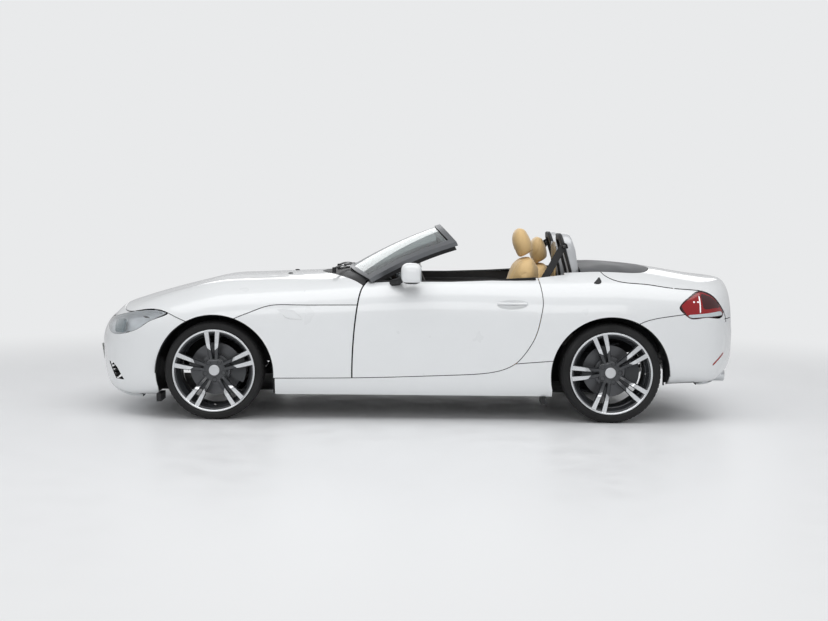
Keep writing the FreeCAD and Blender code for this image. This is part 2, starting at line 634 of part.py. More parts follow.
def tyre(radius, width):
    """Tyre on the Y axis, centred on the origin."""
    h = width / 2
    seat = RIM_SEAT_RADIUS
    lip = RIM_FLANGE_RADIUS
    pts = [(-h + 14, seat), (-h + 8.5, lip + 0.3), (-h + 1, lip + 12), (-h, seat + 40), (-h + 10, radius - 16),
           (-h + 26, radius - 3), (-h * 0.4, radius), (h * 0.4, radius), (h - 26, radius - 3),
           (h - 10, radius - 16), (h, seat + 40), (h - 1, lip + 12), (h - 8.5, lip + 0.3), (h - 14, seat)]
    inner = [(h - 30, seat), (h - 18, seat + 34), (h - 30, radius - 16), (-h + 30, radius - 16),
             (-h + 18, seat + 34), (-h + 30, seat)]
    wire = Part.makePolygon([V(0, y, z) for y, z in pts + inner + pts[:1]])
    return Part.Face(wire).revolve(V(0, 0, 0), V(0, 1, 0), 360)


def wheel(width):
    """Rim with five pairs of spokes; the outer face looks along -Y."""
    h = width / 2 - 6
    seat, lip = RIM_SEAT_RADIUS, RIM_FLANGE_RADIUS
    pts = [(-h - 5, lip), (-h, lip), (-h + 7, seat), (h - 7, seat), (h, lip), (h + 5, lip),
           (h + 2, seat - 10), (h - 30, seat - 22), (-h + 60, seat - 28), (-h + 30, seat - 10),
           (-h - 5, seat + 3)]
    barrel = Part.Face(Part.makePolygon([V(0, y, z) for y, z in pts + pts[:1]]))
    barrel = barrel.revolve(V(0, 0, 0), V(0, 1, 0), 360)
    hub = cylinder_y(0, 0, HUB_RADIUS, -HUB_SEAT - 42, -HUB_SEAT)
    bolts = []
    for k in range(5):
        angle = math.radians(90 + 36 + 72 * k)
        bolts.append(cylinder_y(60 * math.cos(angle), 60 * math.sin(angle), 9, -300, 300))
    spokes = []
    side = [(45, -HUB_SEAT - 2), (45, -HUB_SEAT - 44), (80, -HUB_SEAT - 46), (150, -h + 4), (seat - 3, -h - 2),
            (seat - 3, -h + 26), (150, -h + 38), (100, -HUB_SEAT - 2)]
    for k in range(5):
        for sign in (-1, 1):
            profile = Part.Face(Part.makePolygon([V(-60, y, r) for r, y in side + side[:1]]))
            profile = profile.extrude(V(120, 0, 0))
            flank = [(sign * 8, 40), (sign * 28, 40), (sign * 52, seat - 2), (sign * 20, seat - 2)]
            plan = prism_xz(flank, -200, 200)
            spoke = profile.common(plan).common(cylinder_y(0, 0, seat - 4, -200, 200))
            spoke.rotate(V(0, 0, 0), V(0, 1, 0), 72 * k)
            spokes.append(spoke)
    rim = barrel.multiFuse([hub] + spokes).cut(bolts)
    return rim


def disc():
    """Brake disc on its hub, with the bore that runs on the spindle."""
    ring = cylinder_y(0, 0, DISC_RADIUS, -HUB_SEAT + 55, -HUB_SEAT + 79)
    ring = ring.cut(cylinder_y(0, 0, 95, -300, 300))
    hat = cylinder_y(0, 0, 96, -HUB_SEAT, -HUB_SEAT + 79).cut(cylinder_y(0, 0, 84, -HUB_SEAT + 8, 300))
    hub = cylinder_y(0, 0, 50, -HUB_SEAT, HUB_INNER_END)
    hub = hub.cut(cylinder_y(0, 0, SPINDLE_RADIUS + RUNNING_FIT, -HUB_SEAT + 12, 300))
    return ring.multiFuse([hat, hub])


def caliper():
    """Brake caliper, behind the axle, astride the disc."""
    ring = cylinder_y(0, 0, 192, -HUB_SEAT + 32, -HUB_SEAT + 102)
    ring = ring.cut(cylinder_y(0, 0, 105, -300, 300))
    wedge = prism_xz([(0, 0), (260, -130), (260, 130)], -300, 300)
    slot = cylinder_y(0, 0, DISC_RADIUS + 6, -HUB_SEAT + 50, -HUB_SEAT + 84)
    return ring.common(wedge).cut(slot)


def upright():
    """Wheel carrier: spindle, boss and the two joint lugs, about the wheel centre."""
    spindle = cylinder_y(0, 0, SPINDLE_RADIUS, -HUB_SEAT + 20, KNUCKLE_FACE)
    boss = cylinder_y(0, 0, 52, KNUCKLE_FACE, KNUCKLE_FACE + 42)
    post = box(-26, 26, KNUCKLE_FACE + 4, KNUCKLE_FACE + 38, LOWER_JOINT + JOINT_HALF + BUILD_GAP,
               UPPER_JOINT - JOINT_HALF - BUILD_GAP)
    arm = box(0, 120, KNUCKLE_FACE + 6, KNUCKLE_FACE + 26, -38, 38)
    piece = boss.multiFuse([spindle, post, arm, caliper()])
    return piece


def place_wheel(shape, x, z, track, right):
    """Move a left-hand wheel piece to its axle, mirrored for the right-hand side."""
    s = shape.copy()
    s.translate(V(x, -track, z))
    return mirrored(s) if right else s


def make_wheels(nodes):
    """Tyres, rims, discs and the carriers of all four wheels."""
    for end, x, radius, width, track in (
            ("front", FRONT_AXLE_X, TYRE_RADIUS_FRONT, TYRE_WIDTH_FRONT, TRACK_HALF_FRONT),
            ("rear", REAR_AXLE_X, TYRE_RADIUS_REAR, TYRE_WIDTH_REAR, TRACK_HALF_REAR)):
        rim, rubber, brake, carrier = wheel(width), tyre(radius, width), disc(), upright()
        for side, right in (("left", False), ("right", True)):
            nodes["wheel_%s_%s" % (end, side)] = place_wheel(rim, x, radius, track, right)
            nodes["tyre_%s_%s" % (end, side)] = place_wheel(rubber, x, radius, track, right)
            nodes["disc_%s_%s" % (end, side)] = place_wheel(brake, x, radius, track, right)
            if end == "front":
                nodes["knuckle_" + side] = place_wheel(carrier, x, radius, track, right)
        if end == "rear":
            nodes["rear_suspension"] = rear_suspension(carrier, x, radius, track)


def wishbone(x, z, y_out, y_in, spread, r):
    """Two-legged arm from the wheel carrier to its inner pivots, left-hand side."""
    legs = [rod((x + s * 12, -y_out, z), (x + s * spread, -y_in, z), r) for s in (-1, 1)]
    joint = Part.makeCylinder(20, 2 * JOINT_HALF, V(x, -y_out, z - JOINT_HALF))
    pivots = [Part.makeCylinder(JOINT_HALF, 50, V(x + s * spread - 25, -y_in, z), V(1, 0, 0)) for s in (-1, 1)]
    return joint.multiFuse(legs + pivots)


def coil_over(x, y, z0, z1):
    """Damper with its coil spring as one turned stack, left-hand side."""
    lower = Part.makeCylinder(22, (z1 - z0) * 0.55, V(x, -y, z0))
    shaft = Part.makeCylinder(9, z1 - z0, V(x, -y, z0))
    seat = Part.makeCylinder(SPRING_SEAT, 6, V(x, -y, z0 + (z1 - z0) * 0.5))
    cap = Part.makeCylinder(SPRING_SEAT, 10, V(x, -y, z1 - 10))
    return lower.multiFuse([shaft, seat, cap])


def front_suspension():
    """Lower and upper arms with the coil-over units between them."""
    x, z = FRONT_AXLE_X, TYRE_RADIUS_FRONT
    lower = wishbone(x, z + LOWER_JOINT, KINGPIN_Y, 412, 80, 11)
    upper = wishbone(x, z + UPPER_JOINT, KINGPIN_Y, 460 + BUILD_GAP, 60, 9)
    top = z - ARCH_DROP + math.sqrt((ARCH_RADIUS - 6) ** 2 - SPRING_SEAT ** 2) - BUILD_GAP
    unit = coil_over(x, 560, z + LOWER_JOINT, top)
    cross = box(x - 92, x + 92, -432, 432, z + LOWER_JOINT - JOINT_HALF, z + LOWER_JOINT + JOINT_HALF)
    cross = cross.cut(box(x - 60, x + 60, -380, 380, 0, 300))
    parts = [lower, unit, mirrored(lower), mirrored(unit)]
    for s in (-1, 1):
        for dx in (-75, 75):
            parts.append(box(x + dx - 14, x + dx + 14, s * 396, s * 430, z + LOWER_JOINT, 330 - BUILD_GAP))
    return Part.makeCompound([cross.multiFuse(parts), upper, mirrored(upper)])


def rear_suspension(carrier, x, z, track):
    """Rear carriers, arms and coil-over units."""
    c = place_wheel(carrier, x, z, track, False)
    y_c = track - KNUCKLE_FACE - 20
    lower = wishbone(x, z + LOWER_JOINT, y_c, 420, 150, 11)
    upper = wishbone(x, z + UPPER_JOINT, y_c, 610 + BUILD_GAP, 60, 9)
    corner = c.multiFuse([lower, upper])
    parts = [mirrored(corner)]
    for s in (-1, 1):
        bar_x = x + s * (DRIVE_HALF + 13)
        parts.append(box(bar_x - 12, bar_x + 12, -440, 440, z + LOWER_JOINT - 12, z + LOWER_JOINT + 12))
        for y in (-400, 400):
            parts.append(box(bar_x - 12, bar_x + 12, y - 15, y + 15, z + LOWER_JOINT, BOOT_FLOOR - BUILD_GAP))
    return corner.multiFuse(parts)


def make_driveline():
    """Final drive, half-shafts and propeller shaft."""
    x, z = REAR_AXLE_X, TYRE_RADIUS_REAR
    reach = DRIVE_HALF + 1 - BUILD_GAP
    case = box(x - reach, x + reach, -110, 110, z - 90, z + 90)
    shaft = rod((x, -TRACK_HALF_REAR + KNUCKLE_FACE + 60, z), (x, TRACK_HALF_REAR - KNUCKLE_FACE - 60, z), 16)
    prop = rod((-560, 0, 290), (x - 120, 0, z - 10), 30)
    gearbox = rod((-760 + BUILD_GAP, 0, 290), (0, 0, 290), 105)
    return case.multiFuse([shaft, prop, gearbox])


def make_exhaust():
    """Silencer with twin tips."""
    silencer_z = BOOT_FLOOR - BUILD_GAP - 80
    silencer = rod((1690, -350, silencer_z), (1690, 350, silencer_z), 80)
    parts = []
    for y in (-TIP_Y, TIP_Y):
        tip = rod((1800, y, TIP_Z), (TIP_END, y, TIP_Z), TIP_RADIUS)
        parts.append(tip.cut(rod((1900, y, TIP_Z), (TIP_END + 5, y, TIP_Z), TIP_RADIUS - 4)))
        parts.append(rod((1810, y, TIP_Z), (1690, y * 0.6, silencer_z), 24))
    parts += [rod((1690, 95, silencer_z), (1480, 95, 197), 24), rod((1490, 95, 197), (-560, 95, 197), 24)]
    return silencer.multiFuse(parts)


def screen_point(u, v, off):
    """Windscreen surface: u across (-1..1), v up (0..1), off outwards."""
    xb, yb, zb = screen_base(720 * u), 720 * u, 944 - 55 * u * u
    xh, yh, zh = 138 + 92 * u * u, 548 * u, 1218 - 98 * u * u
    x, y, z = xb + (xh - xb) * v, yb + (yh - yb) * v, zb + (zh - zb) * v
    bow = 18 * 4 * v * (1 - v)
    nx, nz = -0.43, 0.9
    ny = 0.35 * u
    return V(x + nx * (off + bow), y + ny * off, z + nz * (off + bow))


def make_screen(nodes):
    """Windscreen glass in its frame."""
    n_u, n_v = 12, 6
    ring = sheet(screen_point, span(-1.04, 1.04, n_u), span(-0.02, 1.02, n_v), -16, 12)
    hole = sheet(screen_point, span(-0.94, 0.94, n_u), span(0.02, 0.96, n_v), -60, 60)
    nodes["windscreen_frame"] = ring.cut(hole)
    nodes["windscreen"] = sheet(screen_point, span(-0.938, 0.938, n_u), span(0.022, 0.958, n_v), -3, 3)
    nodes["cowl"] = nodes["cowl"].cut(ring)
    clear = sheet(screen_point, span(-1.06, 1.06, n_u), span(-0.03, 0.3, n_v), -22, 18)
    nodes["door_left"] = nodes["door_left"].cut(clear)
    nodes["door_right"] = mirrored(nodes["door_left"])


def arch_plate(half, top):
    """Round-cornered arch from the rear deck up to a height, as a thick plate across the car."""
    corner = half * 0.6
    plate = box(880, 1060, -half, half, 800, top - corner)
    plate = plate.fuse(box(880, 1060, corner - half, half - corner, 800, top))
    return plate.multiFuse([Part.makeCylinder(corner, 180, V(880, s * (half - corner), top - corner), V(1, 0, 0))
                            for s in (-1, 1)])


def make_cockpit(nodes, body):
    """Dashboard, steering wheel, seats, belts, hoops and wind deflector."""
    dash = prism_xz([(-609.7, 500), (-609.7, 880), (-430, 905), (-190, 900), (-130, 850), (-150, 720),
                     (-260, 560)], -690, 690)
    dash = dash.common(body.cavity)
    dash = dash.cut([box(-620, -295, y0, y1, 400, 950) for y0, y1 in ((-800, -594), (594, 800))])
    dash = dash.cut(pair(-620, 200, -800, -DASH_END[0], DASH_END[1], 950))
    dash = dash.cut(nodes["windscreen_frame"])
    tunnel = prism_xz([(-300, 421), (-300, 640), (-150, 640), (150, 520), (760, 500), (760, 421)], -120, 120)
    nodes["dashboard"] = dash.fuse(tunnel)
    wheel_ring = Part.makeTorus(180, 14)
    spokes = [Part.makeCylinder(50, 40, V(0, 0, -45))]
    for a in (0, 90, 180):
        s = rod((0, 0, -20), (176 * math.cos(math.radians(a)), 176 * math.sin(math.radians(a)), 0), 12)
        spokes.append(s)
    column = rod((0, 0, -40), (0, 0, -COLUMN_LENGTH), COLUMN_RADIUS)
    ring = wheel_ring.multiFuse(spokes + [column])
    bore = rod((0, 0, -40), (0, 0, -COLUMN_LENGTH - 2), COLUMN_RADIUS + COLUMN_PLAY)
    for shape in (ring, bore):
        shape.rotate(V(0, 0, 0), V(0, 0, 1), -90)
        shape.rotate(V(0, 0, 0), V(0, 1, 0), COLUMN_TILT)
        shape.translate(V(*STEERING_CENTRE))
    nodes["steering_wheel"] = ring
    nodes["dashboard"] = nodes["dashboard"].cut(bore)
    seats = []
    for y, x_off, drop in ((-DRIVER_Y, 0, 0), (DRIVER_Y, 105, 80)):
        cushion = box(150 + x_off, 640 + x_off, y - 214, y + 214, 280, 420)
        back = prism_xz([(600 + x_off, 290), (560 + x_off, 420), (650 + x_off, 990 - drop),
                         (760 + x_off, 990 - drop), (790 + x_off, 420), (740 + x_off, 290)], y - 214, y + 214)
        head = prism_xz([(634 + x_off, 1010 - drop), (670 + x_off, 1200 - drop), (720 + x_off, 1215 - drop),
                         (765 + x_off, 1020 - drop)], y - 130, y + 130)
        link = box(670 + x_off, 730 + x_off, y - 60, y + 60, 980 - drop, 1020 - drop)
        base = box(150 + x_off, 640 + x_off, y - 200, y + 200, 177, 281)
        seats.append(cushion.multiFuse([back, head, link, base]))
    nodes["seats"] = Part.makeCompound(seats)
    hoops = []
    lean = prism_xz(HOOP_SIDE, -SIDE_FRAME_Y, SIDE_FRAME_Y)
    for y in (-DRIVER_Y, DRIVER_Y):
        loop = arch_plate(HOOP_HALF, HOOP_TOP).cut(arch_plate(HOOP_HALF - HOOP_TUBE, HOOP_TOP - HOOP_TUBE))
        loop.translate(V(0, y, 0))
        hoops.append(loop.common(lean))
    nodes["roll_hoops"] = Part.makeCompound(hoops)
    nodes["wind_deflector"] = box(925, 931, -155, 155, 860 + BUILD_GAP, 1120)
    nodes["seat_belts"] = both(rod((931, -600, 1100), (789, -640, 860), 6))
    arm = 390 - BUILD_GAP
    nodes["engine_block"] = box(-1560, -760, -250, 250, 330, 780).fuse(box(-1210, -1150, -arm, arm, 345, 385))
    wiper = rod((-545, -60, 945), (-470, -540, 936), 7).fuse(rod((-545, -60, 945), (-545, -60, 890), 9))
    nodes["wipers"] = both(wiper.cut([nodes["cowl"], nodes["windscreen_frame"]]).Solids[0])


def make_mirrors(nodes):
    """Door mirrors on their arms."""
    shell = Part.makeSphere(1)
    m = FreeCAD.Matrix()
    m.scale(V(62, 97, 67))
    shell = shell.transformGeometry(m)
    shell.translate(V(-42, -876, 932))
    shell = shell.cut(box(5, 100, -1100, -700, 800, 1100))
    foot = rod((-128, -760, 872), (-62, -850, 912), 20)
    shell = shell.fuse(foot).cut(nodes["door_left"])
    nodes["mirror_left"] = pick(shell.Solids, -42, -876, 932)
    nodes["mirror_right"] = mirrored(nodes["mirror_left"])


def make_nose(nodes):
    """Grille bars in their frame, seated behind the nose's upper opening."""
    w, z0, z1 = GRILLE_HALF_WIDTH, GRILLE_LOW, GRILLE_HIGH
    frame = box(-2200, -2040, -w - 15, w + 15, z0 - 15, z1 + 15)
    frame = frame.cut(box(-2300, -2000, -w + 25, w - 25, z0 + 8, z1 - 8))
    bars = []
    pitch = (z1 - z0) / GRILLE_BARS
    for k in range(1, GRILLE_BARS):
        bars.append(box(-2200, -2055, -w, w, z0 + k * pitch - 3, z0 + k * pitch + 3))
    nodes["grille"] = frame.multiFuse(bars).common(body_solid(SKIN + BUILD_GAP))


def main():
    """Build every node and write its file."""
    nodes = {}
    body = make_panels(nodes)
    make_tub(nodes, body)
    nodes["underbody_liners"] = make_liners(body)
    make_wheels(nodes)
    nodes["front_suspension"] = front_suspension()
    nodes["driveline"] = make_driveline()
    nodes["exhaust"] = make_exhaust()
    make_screen(nodes)
    make_cockpit(nodes, body)
    make_mirrors(nodes)
    make_nose(nodes)
    os.makedirs("parts", exist_ok=True)
    for name, shape in nodes.items():
        print("%-20s %d solids valid %s" % (name, len(shape.Solids), shape.isValid()))
        shape.exportStep("parts/%s.step" % name)
    print("nodes", len(nodes))


main()
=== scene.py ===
"""Looks of a two-seat roadster with its roof stowed.

Metres, in the frame's own axes: +X to the tail, +Y to the car's right-hand side, +Z up.
"""
import json
import logging
import math
from dataclasses import dataclass, field
from enum import Enum
from typing import Any, Callable, Optional, Sequence

import bmesh
import bpy
import numpy as np
from mathutils import Matrix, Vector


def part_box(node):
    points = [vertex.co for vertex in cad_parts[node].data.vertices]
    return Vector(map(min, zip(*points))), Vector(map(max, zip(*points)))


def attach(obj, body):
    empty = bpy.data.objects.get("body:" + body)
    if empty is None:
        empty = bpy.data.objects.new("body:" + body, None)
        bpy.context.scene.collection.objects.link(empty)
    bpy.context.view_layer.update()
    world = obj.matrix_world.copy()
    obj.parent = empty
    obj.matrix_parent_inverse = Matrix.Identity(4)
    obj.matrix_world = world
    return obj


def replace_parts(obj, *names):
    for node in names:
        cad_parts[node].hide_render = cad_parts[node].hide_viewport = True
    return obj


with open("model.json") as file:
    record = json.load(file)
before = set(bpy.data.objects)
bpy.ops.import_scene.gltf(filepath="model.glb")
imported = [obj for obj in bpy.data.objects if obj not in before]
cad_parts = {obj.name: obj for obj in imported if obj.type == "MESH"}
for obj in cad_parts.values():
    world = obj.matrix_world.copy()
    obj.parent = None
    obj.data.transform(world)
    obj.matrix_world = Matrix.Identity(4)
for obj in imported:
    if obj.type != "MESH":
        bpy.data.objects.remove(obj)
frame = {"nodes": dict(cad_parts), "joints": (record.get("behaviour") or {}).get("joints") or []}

LOG = logging.getLogger("roadster")
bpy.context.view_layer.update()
PHOTO_WIDTH = 828
SIDES = {"left": -1.0, "right": 1.0}
ENDS = ("front", "rear")
CORNERS = tuple(f"{end}_{side}" for end in ENDS for side in SIDES)
MIRROR = np.array([1.0, -1.0, 1.0])
SEAT_MIDDLES = (-0.37, 0.37)
# Where each axle's first pair of spokes points, in degrees
FIRST_SPOKES = {"front": 92.5, "rear": 180.0}
# Pieces are dropped onto the left side from this plane, and no further than this
SIDE_START = -1.1
DRAPE_REACH = 0.8
# Rings of a patch as shares of its outline: the whole of it, its edge, and the seam round it
FULL = (0.0, 0.22, 0.42, 0.6, 0.74, 0.84, 0.9, 0.94, 0.97, 0.985, 1.0)
EDGE = (0.93, 1.0)
SEAM = (0.985, 0.998)
# Points of a line, a section or an outline, in order
Line = Sequence[Sequence[float]]


def joint_place(name: str) -> np.ndarray:
    """Where a joint stands.

    Args:
        name: the joint's name in the record.

    Returns:
        Its point in metres.
    """
    return np.array(next(j["pos_m"] for j in frame["joints"] if j["name"] == name))


def linear(code: str) -> tuple[float, float, float, float]:
    """Linear colour of an sRGB hex value: c/12.92 near black, else ((c + 0.055)/1.055)^2.4.

    Args:
        code: six hex digits.

    Returns:
        Red, green, blue and a full alpha.
    """
    c = np.array([int(code[k:k + 2], 16) for k in (0, 2, 4)]) / 255
    low, high = c / 12.92, ((c + 0.055) / 1.055) ** 2.4
    return (*np.where(c <= 0.04045, low, high).tolist(), 1.0)


def add_node(tree: bpy.types.NodeTree, kind: str, links: Optional[dict[str, Any]] = None,
             **settings: Any) -> bpy.types.Node:
    """Add a node with its settings and its inputs.

    Args:
        tree: the material's node tree.
        kind: Blender's name for the node.
        links: input name to a socket that feeds it, or to a value.
        settings: the node's own properties.

    Returns:
        The new node.
    """
    node = tree.nodes.new(kind)
    for name, value in settings.items():
        setattr(node, name, value)
    for name, source in (links or {}).items():
        if isinstance(source, bpy.types.NodeSocket):
            tree.links.new(source, node.inputs[name])
        else:
            node.inputs[name].default_value = source
    return node


class Pattern(Enum):
    """How a surface was made, as far as the eye sees it."""

    PEEL = "sprayed paint"
    PEBBLE = "embossed grain"
    LEATHER = "dyed hide"
    WEAVE = "crossed threads"
    BRUSHED = "fine straight scratches"
    TURNED = "rings left by a lathe"
    CLEAR = "polished and see-through"
    CAST = "sand-cast skin"


@dataclass(frozen=True)
class Finish:
    """A material as made: base colour, gloss and the fine pattern that its process leaves."""

    name: str
    colour: str
    roughness: float
    pattern: Pattern
    pitch_mm: float
    depth_mm: float = 0.02
    metallic: float = 0.0
    ior: float = 1.5
    coat: float = 0.0
    sheen: float = 0.0
    transmission: float = 0.0
    shade: float = 0.06
    # Strength of a glow; on the lamps' guides and bulbs it is a painted highlight
    glow: float = 0.0

    def material(self) -> bpy.types.Material:
        """The material, made once and then shared."""
        return bpy.data.materials.get(self.name) or self.build()

    def height(self, tree: bpy.types.NodeTree, coords: bpy.types.NodeSocket) -> bpy.types.NodeSocket:
        """Height of the fine pattern, 0 to 1.

        Args:
            tree: the material's node tree.
            coords: object coordinates in metres.

        Returns:
            The socket that carries the height.
        """
        per_metre = 1000 / self.pitch_mm
        scale = (per_metre,) * 3
        if self.pattern is Pattern.BRUSHED:
            scale = (per_metre * 0.03, per_metre, per_metre)
        place = add_node(tree, "ShaderNodeMapping", {"Vector": coords, "Scale": scale}).outputs[0]
        if self.pattern is Pattern.LEATHER:
            cells = add_node(tree, "ShaderNodeTexVoronoi", {"Vector": place, "Scale": 1.0},
                             feature="SMOOTH_F1")
            return cells.outputs["Distance"]
        if self.pattern is Pattern.WEAVE:
            waves = [add_node(tree, "ShaderNodeTexWave", {"Vector": place, "Scale": 0.5},
                              bands_direction=axis).outputs["Fac"] for axis in ("Y", "Z")]
            return add_node(tree, "ShaderNodeMath", {0: waves[0], 1: waves[1]},
                            operation="MAXIMUM").outputs[0]
        detail = 1.0 if self.pattern is Pattern.PEEL else 4.0
        noise = add_node(tree, "ShaderNodeTexNoise", {"Vector": place, "Scale": 1.0, "Detail": detail})
        return noise.outputs["Fac"]

    def build(self) -> bpy.types.Material:
        """Make the material: the pattern drives a bump, and a slow mottling its shade and gloss.

        Returns:
            The new material.
        """
        material = bpy.data.materials.new(self.name)
        material.use_nodes = True
        tree = material.node_tree
        shader = next(n for n in tree.nodes if n.type == "BSDF_PRINCIPLED")
        fixed = {"Metallic": self.metallic, "IOR": self.ior, "Coat Weight": self.coat,
                 "Coat Roughness": 0.03, "Sheen Weight": self.sheen,
                 "Transmission Weight": self.transmission}
        if self.glow:
            fixed.update({"Emission Color": linear(self.colour), "Emission Strength": self.glow})
        for socket, value in fixed.items():
            shader.inputs[socket].default_value = value
        coords = add_node(tree, "ShaderNodeTexCoord").outputs["Object"]
        slow = add_node(tree, "ShaderNodeTexNoise", {"Vector": coords, "Scale": 5.0, "Detail": 3.0})
        base = linear(self.colour)
        dark = tuple(c * (1 - self.shade) for c in base[:3]) + (1.0,)
        ramp = add_node(tree, "ShaderNodeValToRGB", {"Fac": slow.outputs["Fac"]})
        ramp.color_ramp.elements[0].color = dark
        ramp.color_ramp.elements[1].color = base
        ramp.color_ramp.elements[0].position = 0.3
        ramp.color_ramp.elements[1].position = 0.6
        tree.links.new(ramp.outputs["Color"], shader.inputs["Base Color"])
        gloss = add_node(tree, "ShaderNodeMapRange", {
            "Value": slow.outputs["Fac"], "From Min": 0.3, "From Max": 0.7,
            "To Min": self.roughness * 0.85, "To Max": min(self.roughness * 1.15, 1.0)})
        tree.links.new(gloss.outputs["Result"], shader.inputs["Roughness"])
        if self.pattern is not Pattern.CLEAR:
            bump = add_node(tree, "ShaderNodeBump", {"Height": self.height(tree, coords), "Strength": 1.0,
                                                     "Distance": self.depth_mm / 1000})
            tree.links.new(bump.outputs["Normal"], shader.inputs["Normal"])
        return material


# Solid white acrylic enamel under clear lacquer, sprayed: a very soft orange peel under a sharp gloss
PAINT = Finish("white_enamel_sprayed", "E9EBEC", 0.32, Pattern.PEEL, 9.0, 0.004, coat=1.0, shade=0.01)
# PVC stone guard, sprayed thick: dull black with a pebbled skin
UNDERSEAL = Finish("underseal_sprayed", "17181A", 0.75, Pattern.PEBBLE, 4.0, 0.25)
# Black polypropylene, moulded with a fine spark-eroded grain
BLACK_PP = Finish("polypropylene_moulded", "121315", 0.55, Pattern.PEBBLE, 1.6, 0.05)
# Black ABS, moulded and lacquered: a deep gloss
GLOSS_BLACK = Finish("abs_gloss_black", "0B0C0E", 0.12, Pattern.PEEL, 12.0, 0.003, coat=0.6)
# Graphite ABS of the deck panel, moulded with a satin grain
SATIN_GREY = Finish("abs_satin_graphite", "3E4043", 0.5, Pattern.PEBBLE, 1.5, 0.02)
# Aluminium, anodised grey: a soft satin metal
SATIN_METAL = Finish("aluminium_anodised_grey", "77797C", 0.38, Pattern.BRUSHED, 1.2, 0.006, metallic=0.9)
# Laminated float glass
GLASS = Finish("glass_laminated", "C6CFCF", 0.02, Pattern.CLEAR, 1.0, ior=1.52, transmission=1.0,
               shade=0.01)
# Polycarbonate, moulded clear and hard-coated
POLYCARBONATE = Finish("polycarbonate_clear", "F6F8FA", 0.03, Pattern.CLEAR, 1.0, ior=1.585,
                       transmission=1.0, shade=0.01)
# Red acrylic lens, moulded
RED_LENS = Finish("acrylic_red_moulded", "A80B12", 0.06, Pattern.PEEL, 6.0, 0.01, ior=1.49, coat=0.5,
                  transmission=0.25)
# Stainless steel of the exhaust, bead-blasted by use
STEEL = Finish("stainless_brushed", "9A9A98", 0.3, Pattern.BRUSHED, 1.0, 0.01, metallic=1.0)
# PVC foil of the dashboard, slush-moulded with a leather grain
DASH_FOIL = Finish("pvc_foil_slush_moulded", "141416", 0.6, Pattern.LEATHER, 2.2, 0.12)
# Black cowhide on the wheel rim, smooth and slightly worn
RIM_LEATHER = Finish("cowhide_black_smooth", "101011", 0.42, Pattern.LEATHER, 1.5, 0.06)
# Beige nappa hide on the seats: soft, faintly pebbled, with a low sheen
SEAT_LEATHER = Finish("nappa_beige_dyed", "E0BE86", 0.48, Pattern.LEATHER, 2.5, 0.12, sheen=0.15)
# Polyester webbing, woven at 1 mm threads, drawn at 2.5 mm so that it shows
WEBBING = Finish("polyester_webbing_woven", "131314", 0.7, Pattern.WEAVE, 2.5, 0.3, sheen=0.3)
# Aluminium castings of engine and suspension, sand-cast
CASTING = Finish("aluminium_sand_cast", "5E6062", 0.6, Pattern.CAST, 3.0, 0.2, metallic=0.6)
# Dark grey baked lacquer on the wheels' pockets
WHEEL_LACQUER = Finish("wheel_lacquer_dark", "383A3D", 0.3, Pattern.PEEL, 6.0, 0.005, metallic=0.3,
                       coat=0.6)
# Aluminium, diamond-turned: bright with faint lathe rings
TURNED_METAL = Finish("aluminium_diamond_turned", "D9DBDD", 0.22, Pattern.TURNED, 0.8, 0.004, metallic=1.0)
# Carbon-black rubber, moulded and cured
RUBBER = Finish("rubber_cured", "0E0E0F", 0.72, Pattern.PEBBLE, 2.0, 0.08)
# Grey iron of the brake discs, ground by the pads
DISC_IRON = Finish("grey_iron_ground", "5E5F61", 0.35, Pattern.TURNED, 1.4, 0.02, metallic=1.0)

# Metallised reflector bowl: polycarbonate with aluminium vapour on it
REFLECTOR = Finish("aluminium_vapour_coated", "E4E7E9", 0.2, Pattern.PEEL, 8.0, 0.004, metallic=0.2)
# Tinted projector unit behind the lens: smoke-blue polycarbonate
PROJECTOR = Finish("polycarbonate_smoke_blue", "5F787D", 0.18, Pattern.PEEL, 8.0, 0.004, coat=0.5)
# The same acrylic, dyed darker over black walls
DARK_LENS = Finish("acrylic_dark_red_moulded", "3E0609", 0.08, Pattern.PEEL, 6.0, 0.01, ior=1.49, coat=0.5)
# Clear acrylic over a white reflector, as seen from outside
CLEAR_STRIP = Finish("acrylic_clear_ribbed", "C9D3D6", 0.12, Pattern.PEEL, 5.0, 0.02, ior=1.49, coat=0.5)
# Acrylic light guides and bulbs of the lamps, with a faint white glow that is a painted highlight
GUIDE_PAINTED_HIGHLIGHT = Finish("acrylic_guide_painted_highlight", "F7F9FA", 0.15, Pattern.CLEAR, 1.0, ior=1.49, glow=0.25)
# Silver-lacquered ABS of the hoops' rear shells
SILVER_SHELL = Finish("abs_silver_lacquered", "CDCFD1", 0.35, Pattern.PEEL, 9.0, 0.004,
                      metallic=0.3, coat=0.6)
# Chromium-plated trim
CHROME = Finish("chromium_plated", "D6D8DA", 0.08, Pattern.PEEL, 9.0, 0.002, metallic=1.0)
# Mirror glass: silvered float glass, seen as a bright metal
SILVERED = Finish("glass_silvered", "DDE2E4", 0.03, Pattern.CLEAR, 1.0, metallic=1.0)
# Soft EPDM of the seals, extruded
SEAL = Finish("epdm_extruded", "0D0E0F", 0.65, Pattern.PEBBLE, 1.2, 0.04)
# Polyamide carpet, tufted: deep black with a sheen across the pile
CARPET = Finish("polyamide_carpet_tufted", "141415", 0.95, Pattern.PEBBLE, 1.8, 0.6, sheen=0.5)
# Blank number plate: white acrylic sheet
PLATE = Finish("plate_acrylic_white", "E6E7E4", 0.35, Pattern.PEEL, 12.0, 0.005)

